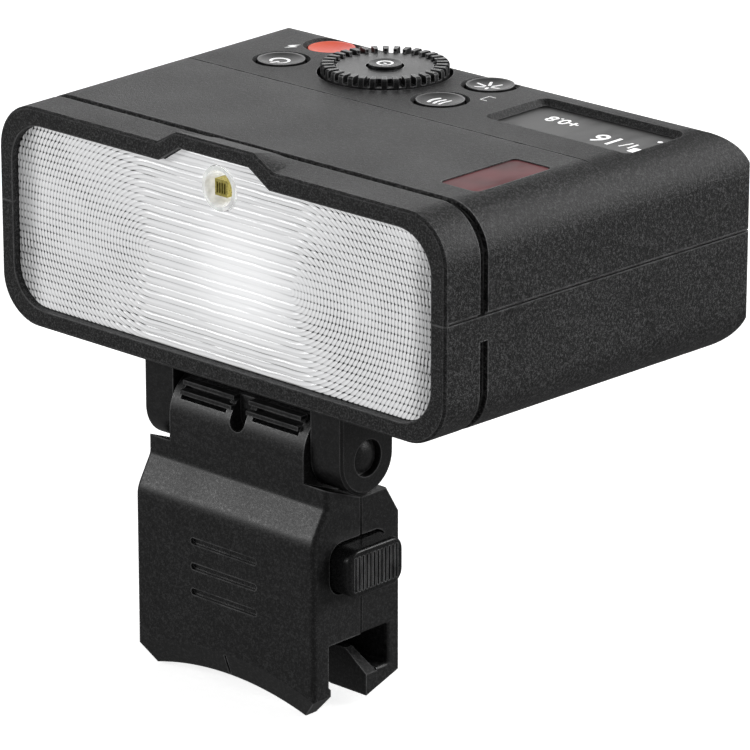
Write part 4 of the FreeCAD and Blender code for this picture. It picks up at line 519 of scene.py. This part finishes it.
def window_material():
    """Lens plastic made bright by a painted glow: the whole face emits its own colour, brightest in a
    painted hot spot right of the middle and darker towards the left and right ends. Rings round the
    middle, crossed by rows into dots at the sides.
    """
    d = bpy.context.scene.flash_details
    material, w, shader = start_material("ribbed window")
    # Emission 0.56 is a painted glow: the face lights itself though the tube behind it is not lit
    set_shader(shader, IOR=1.49, Coat_Weight=0.6, Coat_Roughness=0.12, Emission_Strength=0.56)
    axes = w.axes()
    x, z = axes["X"], axes["Z"]
    across = w.sum("ABSOLUTE", x)
    up = w.sum("SUBTRACT", z, RING_HEIGHT)
    beyond = w.sum("MAXIMUM", w.sum("SUBTRACT", across, d.ring_middle), 0.0)
    wander = w.sum("MULTIPLY", w.sum("SUBTRACT", w.noise(w.spots(), 160.0, 1.0), 0.5), 0.0006)
    radius = w.sum("SQRT", w.sum("ADD", w.sum("POWER", beyond, 2.0), w.sum("POWER", up, 2.0)))
    radius = w.sum("ADD", radius, wander)
    ring_wave = w.sum("SINE", w.sum("MULTIPLY", radius, 2 * math.pi / d.ring_pitch))
    rings = w.ramp(ring_wave, 0.1, 0.95)
    row_wave = w.sum("ABSOLUTE", w.sum("SINE", w.sum(
        "MULTIPLY", w.sum("SUBTRACT", z, PANE_LOW.z), math.pi / d.row_pitch)))
    rows = w.ramp(row_wave, 0.45, 0.08)
    sides = w.ramp(across, 0.009, 0.021)
    outer = w.ramp(radius, 0.005, 0.0105)
    ring_share = w.sum("MAXIMUM", sides, w.sum("MULTIPLY", outer, 0.55))
    dots = w.sum("MULTIPLY", w.sum("MULTIPLY", rings, w.ramp(row_wave, 0.8, 0.2)), sides)
    dark = w.sum("MULTIPLY", dots, 0.75)
    dark = w.sum("MULTIPLY_ADD", w.sum("MULTIPLY", rings, ring_share), 0.42, dark)
    dark = w.sum("MULTIPLY_ADD", rows, 0.32, dark)
    ends = w.ramp(across, 0.0325, 0.0365)
    uprights = w.ramp(w.sum("SINE", w.sum("MULTIPLY", across, 2 * math.pi / d.ring_pitch)), 0.0, 0.9)
    dark = w.sum("MULTIPLY_ADD", w.sum("MULTIPLY", uprights, ends), 0.5, dark)
    patches = w.ramp(w.noise(w.vector("MULTIPLY", w.spots(), (0.6, 1, 1)), 190.0, 2.0), 0.3, 0.7,
                     0.55, 1.15)
    dark = w.sum("MULTIPLY", dark, patches)
    # Painted hot spot: a brighter patch of glow right of the middle, which also fades the dark pattern
    glow_x, glow_z, glow_reach = 3.5 * MM, -0.4 * MM, 9.5 * MM
    far_x = w.sum("DIVIDE", w.sum("SUBTRACT", x, glow_x), glow_reach)
    far_z = w.sum("DIVIDE", w.sum("SUBTRACT", up, glow_z), glow_reach)
    reach = w.sum("SQRT", w.sum("ADD", w.sum("POWER", far_x, 2.0), w.sum("POWER", far_z, 2.0)))
    painted_glow_spot = w.ramp(reach, 1.25, 0.2)
    dark = w.sum("MULTIPLY", dark, w.sum("MULTIPLY_ADD", painted_glow_spot, -0.65, 1.0), clamp=True)
    # Brightness of the painted glow: raised in the hot spot, darker towards the left and right ends
    body = w.sum("SUBTRACT", w.sum("MULTIPLY_ADD", painted_glow_spot, 0.16, 0.86), w.sum("MULTIPLY", ends, 0.36))
    light = w.sum("MULTIPLY", body, w.sum("SUBTRACT", 1.0, dark))
    tint = w.put("CombineColor")
    for i, share_of in enumerate((0.985, 0.99, 1.0)):
        w.join(w.sum("MULTIPLY", light, share_of), tint.inputs[i])
    both_colours(w, shader, tint.outputs[0])
    wiped(w, shader, 0.16, 0.08)
    bumped(w, shader, ring_wave, 0.00003, 0.8)
    return material


def clear_material(name, tint, rough, amount=0.05, **values):
    material, w, shader = start_material(name)
    set_shader(shader, Transmission_Weight=1.0, IOR=1.49, **values)
    shader.inputs["Base Color"].default_value = rgba(tint)
    bumped(w, shader, wiped(w, shader, rough, amount), 0.000002, 0.3)
    return material


# ---------------------------------------------------------------- operators

class FlashOperator:
    """What every step below shares."""
    bl_options = {"REGISTER"}


class FLASH_OT_effects(FlashOperator, bpy.types.Operator):
    """Builds the shared surface effects and the print used by several pieces."""
    bl_idname = "flash.effects"
    bl_label = "Surface effects"

    def execute(self, context):
        make_grain_effect()
        make_edge_highlight_effect()
        make_smudge_effect()
        f = context.scene.flash_finishes
        # White print with a painted glow: white emission at 0.55 on ink that is no lamp
        grained("mark print with painted glow", f.mark, (1, 1, 1), grain=0.0001, rough=0.45, uneven=0.25, highlight_amount=0.0,
                depth=0.000004, Emission_Color=(1, 1, 1, 1), Emission_Strength=0.55)
        material, w, shader = start_material("lit digits")
        glow = w.ramp(w.noise(w.spots(), 1500.0, 1.0), 0.2, 0.7, 0.82, 1.0)
        both_colours(w, shader, glow)
        set_shader(shader, Emission_Strength=0.7, Roughness=0.4)
        return {"FINISHED"}


class FLASH_OT_shells(FlashOperator, bpy.types.Operator):
    """Gives the two head shells their grain, coarse in front and fine on the deck."""
    bl_idname = "flash.shells"
    bl_label = "Head shells"

    def execute(self, context):
        f = context.scene.flash_finishes
        material, w, shader = start_material("shell plastic")
        set_shader(shader, Specular_IOR_Level=0.42)
        coarse = w.effect("fine grain", Base=rgba(f.shell), Fleck=rgba(f.shell_fleck),
                          Grain_Size=f.coarse_grain, Roughness=0.5, Unevenness=0.8)
        fine = w.effect("fine grain", Base=rgba(f.shell), Fleck=rgba(f.shell_fleck),
                        Grain_Size=f.fine_grain, Roughness=0.52, Unevenness=0.66)
        axes = w.axes()
        behind = w.sum("GREATER_THAN", axes["Y"], DECK_START)
        on_top = w.sum("GREATER_THAN", axes["Z"], DECK_LEVEL)
        deck = w.sum("MULTIPLY", behind, on_top)
        rim = w.sum("LESS_THAN", axes["Y"], HEAD_FRONT + RIM_DEPTH)
        smooth = w.sum("MAXIMUM", deck, rim)
        picked = w.mix(smooth, coarse.outputs["Colour"], fine.outputs["Colour"])
        # Painted highlight along the shells' edges: colour lightened toward a light tone, roughness
        # lowered there
        edge_highlight_mask = w.effect("painted edge highlight", Width=f.edge, Amount=0.5).outputs["Mask"]
        w.join(w.mix(edge_highlight_mask, picked, rgba(f.highlight_tone)), shader.inputs["Base Color"])
        rough = w.sum("ADD", w.sum("MULTIPLY", coarse.outputs["Roughness"],
                                   w.sum("SUBTRACT", 1.0, smooth)),
                      w.sum("MULTIPLY", fine.outputs["Roughness"], smooth))
        w.join(w.sum("SUBTRACT", rough, w.sum("MULTIPLY", edge_highlight_mask, 0.12), clamp=True),
               shader.inputs["Roughness"])
        height = w.sum("ADD", w.sum("MULTIPLY", coarse.outputs["Height"],
                                    w.sum("SUBTRACT", 1.0, smooth)),
                       w.sum("MULTIPLY", fine.outputs["Height"], w.sum("MULTIPLY", smooth, 0.75)))
        bumped(w, shader, height, 0.00011)
        dress(material, "top_shell", "bottom_shell")
        return {"FINISHED"}


class FLASH_OT_bracket(FlashOperator, bpy.types.Operator):
    """Finishes the bracket shells, the yoke, the release buttons and the lock inside."""
    bl_idname = "flash.bracket"
    bl_label = "Bracket and yoke"

    def execute(self, context):
        f = context.scene.flash_finishes
        moulded = grained("bracket plastic", f.bracket, f.bracket_fleck, grain=0.00017, rough=0.43,
                          uneven=0.5, depth=0.000022, highlight_amount=0.45, highlight_tone=f.highlight_tone, edge=f.edge)
        dress(moulded, "bracket_front", "bracket_rear")
        smooth = grained("yoke plastic", f.bracket, f.bracket_fleck, grain=0.00014, rough=0.38,
                         uneven=0.32, depth=0.000012, highlight_amount=0.5, highlight_tone=f.highlight_tone, edge=f.edge)
        dress(smooth, "tilt_yoke")
        pressed = grained("release plastic", f.satin, f.bracket_fleck, grain=0.00012, rough=0.3,
                          uneven=0.25, depth=0.000006, highlight_amount=0.8, highlight_tone=f.highlight_tone, edge=0.0003,
                          Specular_IOR_Level=0.35)
        dress(pressed, "release_button_right", "release_button_left")
        dress(grained("cap plastic", f.bracket, f.bracket_fleck, grain=0.00012, rough=0.36,
                      uneven=0.4, depth=0.00001, highlight_amount=0.5, highlight_tone=f.highlight_tone, edge=f.edge), "pin_caps")
        dress(grained("acetal", (0.12, 0.12, 0.125), (0.2, 0.2, 0.2), grain=0.0002, rough=0.35,
                      uneven=0.3, highlight_amount=0.5, highlight_tone=(0.35, 0.35, 0.35)), "lock_pawl")
        dress(grained("bearing bronze", (0.36, 0.24, 0.12), (0.5, 0.36, 0.2), grain=0.00015,
                      rough=0.35, uneven=0.6, Metallic=1.0), "friction_sleeve")
        return {"FINISHED"}


class FLASH_OT_hardware(FlashOperator, bpy.types.Operator):
    """Finishes screws, the hinge pin and the springs."""
    bl_idname = "flash.hardware"
    bl_label = "Screws, pin and spring"

    def execute(self, context):
        black = grained("black zinc", (0.05, 0.05, 0.055), (0.13, 0.13, 0.14), grain=0.0001,
                        rough=0.34, uneven=0.5, depth=0.000004, highlight_amount=0.8, highlight_tone=(0.5, 0.5, 0.5),
                        edge=0.00012, Metallic=1.0)
        dress(black, "case_screws", "bracket_screws", "yoke_screws")
        ground = grained("ground steel", (0.52, 0.52, 0.53), (0.7, 0.7, 0.7), grain=0.00008,
                         rough=0.24, uneven=0.5, depth=0.000003, stretch=(6, 1, 1), highlight_amount=0.3,
                         highlight_tone=(0.8, 0.8, 0.8), Metallic=1.0)
        dress(ground, "hinge_pin")
        dress(grained("spring wire", (0.5, 0.5, 0.5), (0.7, 0.7, 0.7), grain=0.0001, rough=0.28,
                      uneven=0.5, stretch=(1, 1, 4), highlight_amount=0.2, Metallic=1.0), "pawl_spring")
        return {"FINISHED"}


class FLASH_OT_window(FlashOperator, bpy.types.Operator):
    """Makes the window's ribbed face and the clear pane behind it."""
    bl_idname = "flash.window"
    bl_label = "Ribbed window"

    def execute(self, context):
        dress(clear_material("clear pane", (0.96, 0.97, 0.98), 0.08), "fresnel_window")
        new_piece("window_ribs", ribbed_sheet(), window_material(), "head")
        return {"FINISHED"}


class FLASH_OT_flash_tube(FlashOperator, bpy.types.Operator):
    """Finishes the reflector, the tube and its ends."""
    bl_idname = "flash.flash_tube"
    bl_label = "Tube and reflector"

    def execute(self, context):
        dress(grained("reflector sheet", (0.86, 0.87, 0.88), (0.95, 0.95, 0.95), grain=0.0003,
                      rough=0.18, uneven=0.3, depth=0.000004, stretch=(0.1, 1, 1), highlight_amount=0.1,
                      Metallic=1.0), "reflector")
        dress(clear_material("tube glass", (0.93, 0.96, 0.98), 0.03), "flash_tube")
        dress(grained("silicone", (0.75, 0.74, 0.7), (0.85, 0.84, 0.8), grain=0.0002, rough=0.6,
                      uneven=0.4, highlight_amount=0.1), "tube_seals")
        dress(grained("nickel", (0.66, 0.63, 0.58), (0.8, 0.78, 0.74), grain=0.0001, rough=0.22,
                      uneven=0.4, highlight_amount=0.2, Metallic=1.0), "tube_electrodes")
        return {"FINISHED"}


class FLASH_OT_lamp(FlashOperator, bpy.types.Operator):
    """Finishes the lamp cup and die, and adds the die's bond strips."""
    bl_idname = "flash.lamp"
    bl_label = "Pilot lamp"

    def execute(self, context):
        cup, w, shader = start_material("lamp cup")
        set_shader(shader, IOR=1.49, Transmission_Weight=0.6, Coat_Weight=1.0,
                   Coat_Roughness=0.04, Emission_Strength=0.3)
        haze = w.ramp(w.noise(w.spots(), 900.0, 2.0), 0.3, 0.7, 0.7, 0.95)
        both_colours(w, shader, haze)
        wiped(w, shader, 0.05, 0.08)
        dress(cup, "led_cup")
        dress(grained("die phosphor", (0.72, 0.6, 0.12), (0.85, 0.78, 0.35), grain=0.00012,
                      rough=0.5, uneven=0.7, highlight_amount=0.1), "led_emitter")
        low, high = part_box("led_emitter")
        mesh = bmesh.new()
        strip_count, strip_size = 4, (0.16 * MM, 0.12 * MM, (high.x - low.x) * 0.65)
        for i in range(strip_count):
            x = low.x + (high.x - low.x) * (i + 1) / (strip_count + 1)
            made = bmesh.ops.create_cube(mesh, size=1.0)["verts"]
            bmesh.ops.scale(mesh, vec=strip_size, verts=made)
            bmesh.ops.translate(mesh, vec=(x, low.y - 0.05 * MM, LAMP_Z), verts=made)
        bmesh.ops.bevel(mesh, geom=mesh.edges[:], offset=0.03 * MM, segments=2, affect="EDGES")
        strips = made_mesh("lamp_strips", mesh)
        gold = grained("bond strip", (0.32, 0.26, 0.06), (0.5, 0.42, 0.15), grain=0.0001,
                       rough=0.3, uneven=0.5, highlight_amount=0.2, Metallic=1.0)
        new_piece("lamp_strips", strips, gold, "head")
        return {"FINISHED"}


class FLASH_OT_controls(FlashOperator, bpy.types.Operator):
    """Finishes the dial and the round buttons, the test button lit from below."""
    bl_idname = "flash.controls"
    bl_label = "Dial and buttons"

    def execute(self, context):
        f = context.scene.flash_finishes
        dress(grained("dial plastic", f.satin, f.shell_fleck, grain=f.fine_grain, rough=0.36,
                      uneven=0.3, depth=0.000012, highlight_amount=0.8, highlight_tone=f.highlight_tone, edge=0.00026),
              "control_dial")
        dress(grained("button plastic", f.satin, f.bracket_fleck, grain=0.0001, rough=0.36,
                      uneven=0.18, depth=0.000004, highlight_amount=0.9, highlight_tone=f.highlight_tone, edge=0.00026,
                      Specular_IOR_Level=0.28),
              "set_button", "power_button", "mode_button", "lamp_button")
        lit, w, shader = start_material("lit test cap")
        set_shader(shader, Specular_IOR_Level=0.25, Emission_Strength=0.3)
        low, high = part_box("test_button")
        along = w.ramp(w.axes()["X"], low.x, high.x)
        warm = w.mix(along, (0.9, 0.13, 0.06, 1), rgba(f.test))
        cloudy = w.effect("fine grain", Base=(1, 1, 1, 1), Fleck=(0.8, 0.8, 0.8, 1),
                          Grain_Size=0.0003, Roughness=0.42, Unevenness=0.5)
        blend = w.put("Mix", data_type="RGBA", blend_type="MULTIPLY")
        blend.inputs[0].default_value = 0.35
        w.join(warm, blend.inputs[6])
        w.join(cloudy.outputs["Colour"], blend.inputs[7])
        both_colours(w, shader, blend.outputs[2])
        w.join(cloudy.outputs["Roughness"], shader.inputs["Roughness"])
        bumped(w, shader, cloudy.outputs["Height"], 0.00001)
        dress(lit, "test_button")
        return {"FINISHED"}


def cap_middle(node):
    low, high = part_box(node)
    return ((low.x + high.x) / 2, (low.y + high.y) / 2)


class FLASH_OT_marks(FlashOperator, bpy.types.Operator):
    """Prints the signs on the caps and on the deck."""
    bl_idname = "flash.marks"
    bl_label = "Printed marks"

    def execute(self, context):
        print_mark("mark_power", "power_button", "power", cap_middle("power_button"),
                   [arc(0, -0.1, 1.25, 125, 415), [(0, 1.65), (0, 0.25)]], MARK_STROKE)
        wave = ((-1.25, 1.25), (-0.85, 0.35), (-0.8, -0.4), (-1.1, -1.2))
        waves = [[(x + 0.95 * i, y) for x, y in wave] for i in range(3)]
        print_mark("mark_waves", "mode_button", "mode", cap_middle("mode_button"),
                   waves, MARK_STROKE)
        rays = [[(reach * math.cos(math.radians(a)), reach * math.sin(math.radians(a)))
                 for reach in (0.62, 1.8)] for a in range(0, 360, 60)]
        print_mark("mark_rays", "lamp_button", "lamp", cap_middle("lamp_button"), rays,
                   MARK_STROKE)
        print_mark("mark_choose", "set_button", "set", cap_middle("set_button"),
                   [arc(0, 0, 1.0, 0, 359), [(-0.12, 0), (0.12, 0)]], 0.38)
        bolt = [(0.35, 1.35), (-0.85, -0.15), (-0.1, -0.15), (-0.35, -1.35), (0.85, 0.2),
                (0.12, 0.2)]
        spot = (-29.4 * MM, HEAD_FRONT + 45.0 * MM)
        print_mark("mark_bolt", "top_shell", "head", spot, [], 0.3, [bolt])
        x, y = cap_middle("mode_button")
        x2, y2 = cap_middle("lamp_button")
        link = [(0, 0), (1.1, 0), (1.1, 1.8), (0, 1.8)]
        spot = (max(x, x2) + 4.9 * MM, (y + y2) / 2 + 0.9 * MM)
        print_mark("mark_link", "top_shell", "head", spot, [link], 0.16)
        return {"FINISHED"}


class FLASH_OT_display(FlashOperator, bpy.types.Operator):
    """Finishes the display and the sensor window, and lights the digits."""
    bl_idname = "flash.display"
    bl_label = "Display and sensor"

    def execute(self, context):
        f, d = context.scene.flash_finishes, context.scene.flash_details
        glass, w, shader = start_material("display glass")
        set_shader(shader, IOR=1.5, Specular_IOR_Level=0.16)
        shade = w.ramp(w.noise(w.spots(), 120.0, 2.0), 0.3, 0.7, 0.003, 0.006)
        w.join(shade, shader.inputs["Base Color"])
        bumped(w, shader, wiped(w, shader, 0.3, 0.07), 0.000002, 0.2)
        dress(glass, "display_window")
        dress(grained("display module", (0.03, 0.03, 0.04), (0.06, 0.06, 0.08), grain=0.0002,
                      rough=0.2, uneven=0.3), "display_module")
        low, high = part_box("display_window")
        level = high.z + 0.015 * MM
        middle = (low.y + high.y) / 2
        for name, text, size, left, near in (
                ("digits_level", "16", d.digit_size, 32.0, 0.3),
                ("digits_share", "1/", d.small_digit_size, 34.9, -0.3),
                ("digits_trim", "+0.8", d.small_digit_size, 22.8, 2.2)):
            digits(name, text, size, left * MM, middle + near * MM, level, "head")
        mesh = bmesh.new()
        for sx, sy, dx, dy in ((35.4, -2.5, 0.7, 0.9), (35.4, 2.6, 0.35, 0.35)):
            corners = [(sx - dx, sy - dy), (sx + dx, sy - dy), (sx + dx, sy + dy), (sx - dx, sy + dy)]
            bottom = [mesh.verts.new((x * MM, middle + y * MM, level)) for x, y in corners]
            mesh.faces.new(bottom)
        bmesh.ops.bevel(mesh, geom=mesh.verts[:], offset=0.15 * MM, segments=3, affect="VERTICES")
        new_piece("display_icons", made_mesh("display_icons", mesh),
                  bpy.data.materials["lit digits"], "head")
        red, w, shader = start_material("sensor glass")
        set_shader(shader, IOR=1.5, Specular_IOR_Level=0.07)
        cloud = w.ramp(w.noise(w.spots(), 110.0, 2.0), 0.3, 0.7)
        deep = tuple(c * 0.45 for c in f.sensor)
        w.join(w.mix(cloud, rgba(deep), rgba(f.sensor)), shader.inputs["Base Color"])
        bumped(w, shader, wiped(w, shader, 0.34, 0.12), 0.000002, 0.2)
        dress(red, "sensor_window")
        dress(grained("sensor body", (0.02, 0.02, 0.025), (0.05, 0.05, 0.05), rough=0.25,
                      uneven=0.3), "slave_sensor")
        return {"FINISHED"}


def board_material():
    """Solder mask with raised tracks and plated pads."""
    material, w, shader = start_material("solder mask")
    where = w.spots()
    tracks = w.put("TexBrick", offset=0.35)
    w.join(where, tracks.inputs["Vector"])
    w.join((0, 0, 0, 1), tracks.inputs["Color1"])
    w.join((0, 0, 0, 1), tracks.inputs["Color2"])
    w.join((1, 1, 1, 1), tracks.inputs["Mortar"])
    for key, value in (("Scale", 260.0), ("Mortar Size", 0.045), ("Mortar Smooth", 0.2)):
        w.join(value, tracks.inputs[key])
    pads = w.put("TexVoronoi")
    w.join(where, pads.inputs["Vector"])
    w.join(380.0, pads.inputs["Scale"])
    pad = w.ramp(pads.outputs["Distance"], 0.2, 0.14)
    surface = w.effect("fine grain", Base=(0.01, 0.1, 0.045, 1), Fleck=(0.02, 0.16, 0.07, 1),
                       Grain_Size=0.0003, Roughness=0.3, Unevenness=0.5)
    tracked = w.mix(tracks.outputs["Color"], surface.outputs["Colour"], (0.03, 0.24, 0.1, 1))
    w.join(w.mix(pad, tracked, (0.8, 0.62, 0.25, 1)), shader.inputs["Base Color"])
    w.join(pad, shader.inputs["Metallic"])
    w.join(surface.outputs["Roughness"], shader.inputs["Roughness"])
    bumped(w, shader, w.sum("ADD", tracks.outputs["Fac"], pad), 0.00003)
    return material


def wound_material():
    """Enamelled wire laid in close turns."""
    material, w, shader = start_material("copper windings")
    set_shader(shader, Metallic=1.0)
    turns = w.put("TexWave", wave_type="BANDS", bands_direction="X")
    w.join(w.spots(), turns.inputs["Vector"])
    w.join(1100.0, turns.inputs["Scale"])
    w.join(w.mix(turns.outputs["Fac"], (0.25, 0.09, 0.03, 1), (0.8, 0.4, 0.18, 1)),
           shader.inputs["Base Color"])
    w.join(w.ramp(turns.outputs["Fac"], 0.0, 1.0, 0.45, 0.22), shader.inputs["Roughness"])
    bumped(w, shader, turns.outputs["Fac"], 0.00006)
    return material


class FLASH_OT_electronics(FlashOperator, bpy.types.Operator):
    """Finishes the boards and everything on them, the battery and the socket."""
    bl_idname = "flash.electronics"
    bl_label = "Boards, battery and socket"

    def execute(self, context):
        dress(board_material(), "control_board", "main_board", "power_board", "led_board")
        dress(wound_material(), "trigger_coil")
        dress(grained("stamped switch", (0.6, 0.6, 0.6), (0.78, 0.78, 0.78), grain=0.0001,
                      rough=0.3, uneven=0.5, highlight_amount=0.3, Metallic=1.0), "tact_switches")
        dress(grained("encoder body", (0.02, 0.02, 0.022), (0.06, 0.06, 0.06), rough=0.4,
                      uneven=0.5), "dial_encoder")
        dress(grained("capacitor sleeve", (0.02, 0.02, 0.045), (0.05, 0.05, 0.1), grain=0.0003,
                      rough=0.25, uneven=0.4, stretch=(0.2, 1, 1), Coat_Weight=0.3),
              "main_capacitor")
        dress(grained("ferrite", (0.06, 0.06, 0.06), (0.14, 0.14, 0.14), grain=0.00025, rough=0.6,
                      uneven=0.8), "boost_transformer")
        dress(grained("foil pouch", (0.46, 0.48, 0.51), (0.62, 0.64, 0.66), grain=0.0012,
                      rough=0.3, uneven=0.6, depth=0.00006, highlight_amount=0.3, Metallic=1.0),
              "battery_pack")
        dress(grained("socket shell", (0.58, 0.58, 0.58), (0.75, 0.75, 0.75), grain=0.0001,
                      rough=0.25, uneven=0.5, stretch=(1, 0.2, 1), highlight_amount=0.4, Metallic=1.0),
              "charge_socket")
        dress(grained("socket insulator", (0.02, 0.02, 0.02), (0.06, 0.06, 0.06), rough=0.45,
                      uneven=0.4), "socket_tongue")
        return {"FINISHED"}


def softbox(name, where, aim, size, watts):
    lamp = bpy.data.lights.new(name, "AREA")
    lamp.shape = "RECTANGLE"
    lamp.size, lamp.size_y = size
    lamp.energy = watts
    light = bpy.data.objects.new(name, lamp)
    light.location = where
    light.rotation_euler = (Vector(aim) - Vector(where)).to_track_quat("-Z", "Y").to_euler()
    bpy.context.scene.collection.objects.link(light)


class FLASH_OT_stage(FlashOperator, bpy.types.Operator):
    """Sets the pale floor with its sweep, the soft lights and the camera."""
    bl_idname = "flash.stage"
    bl_label = "Studio"

    def execute(self, context):
        s = context.scene.flash_stage
        low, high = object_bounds()
        size, ground = s.floor_size, low.z - 0.0002
        mesh = bmesh.new()
        flat, bend, facets = 0.35 * size, 0.3 * size, 16
        profile = [(-size, 0.0), (flat, 0.0)]
        profile += [(flat + bend * math.sin(a), bend * (1 - math.cos(a)))
                    for a in (math.pi / 2 * i / facets for i in range(1, facets + 1))]
        profile.append((flat + bend, size))
        angle = math.atan2(s.camera_aim[0] - s.camera_at[0], s.camera_aim[1] - s.camera_at[1])
        away = Vector((math.sin(angle), math.cos(angle), 0))
        across = Vector((away.y, -away.x, 0))
        rows = []
        for far, up in profile:
            middle = away * far + Vector((0, 0, ground + up))
            rows.append([mesh.verts.new(middle - across * size), mesh.verts.new(middle + across * size)])
        for (a, b), (c, d) in zip(rows, rows[1:]):
            mesh.faces.new((a, b, d, c))
        bmesh.ops.recalc_face_normals(mesh, faces=mesh.faces[:])
        paper = made_mesh("floor", mesh)
        smooth_faces(paper)
        floor = bpy.data.objects.new("floor", paper)
        context.scene.collection.objects.link(floor)
        sheet, w, shader = start_material("floor paper")
        tooth = w.ramp(w.noise(w.spots(), 900.0, 3.0), 0.2, 0.8, 0.97, 1.0)
        tinted = w.put("VectorMath", operation="SCALE")
        w.join(s.floor, tinted.inputs[0])
        w.join(tooth, tinted.inputs["Scale"])
        both_colours(w, shader, tinted.outputs[0])
        set_shader(shader, Roughness=0.9, Emission_Strength=0.9)
        paper.materials.append(sheet)
        floor.visible_diffuse = False
        floor.visible_glossy = False
        floor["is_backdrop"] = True

        world = bpy.data.worlds.new("studio air")
        world.use_nodes = True
        set_shader(world.node_tree.nodes["Background"], Color=(1, 1, 1, 1), Strength=0.17)
        context.scene.world = world

        middle = (0, 0.015, 0.035)
        softbox("top_softbox", (0.3, 0.55, 0.55), middle, (0.3, 0.3), s.top_light)
        softbox("side_softbox", (0.62, 0.6, 0.33), middle, (0.35, 0.35), s.side_light)
        softbox("front_softbox", (-0.65, -0.7, 0.36), middle, (0.35, 0.25), s.front_light)
        softbox("back_softbox", (-0.55, 0.6, 0.3), middle, (0.3, 0.5), s.back_light)

        lens = bpy.data.cameras.new("camera")
        lens.sensor_width = 36.0
        lens.lens = s.camera_lens
        lens.clip_end = 20.0
        camera = bpy.data.objects.new("camera", lens)
        camera.location = s.camera_at
        aim = Vector(s.camera_aim) - Vector(s.camera_at)
        camera.rotation_euler = aim.to_track_quat("-Z", "Y").to_euler()
        context.scene.collection.objects.link(camera)
        context.scene.camera = camera
        context.scene.view_settings.view_transform = "Standard"
        return {"FINISHED"}


OPERATORS = [FLASH_OT_effects, FLASH_OT_shells, FLASH_OT_bracket, FLASH_OT_hardware,
             FLASH_OT_window, FLASH_OT_flash_tube, FLASH_OT_lamp, FLASH_OT_controls,
             FLASH_OT_marks, FLASH_OT_display, FLASH_OT_electronics, FLASH_OT_stage]


class FLASH_PT_panel(bpy.types.Panel):
    """Lists the steps that dress the flash head."""
    bl_idname = "FLASH_PT_panel"
    bl_label = "Flash head"
    bl_space_type = "VIEW_3D"
    bl_region_type = "UI"
    bl_category = "Flash head"

    def draw(self, context):
        for operator in OPERATORS:
            self.layout.operator(operator.bl_idname)
        for group in (context.scene.flash_finishes, context.scene.flash_details,
                      context.scene.flash_stage):
            box = self.layout.box()
            for name in group.__annotations__:
                box.prop(group, name)


SETTINGS = {"flash_finishes": FlashFinishes, "flash_details": FlashDetails,
            "flash_stage": FlashStage}
CLASSES = [*SETTINGS.values(), *OPERATORS, FLASH_PT_panel]


def register():
    for item in CLASSES:
        bpy.utils.register_class(item)
    for name, group in SETTINGS.items():
        setattr(bpy.types.Scene, name, PointerProperty(type=group))


def unregister():
    for name in SETTINGS:
        delattr(bpy.types.Scene, name)
    for item in reversed(CLASSES):
        bpy.utils.unregister_class(item)


def main():
    register()
    for operator in OPERATORS:
        getattr(bpy.ops.flash, operator.bl_idname.split(".")[1])()


if __name__ == "__main__":
    main()
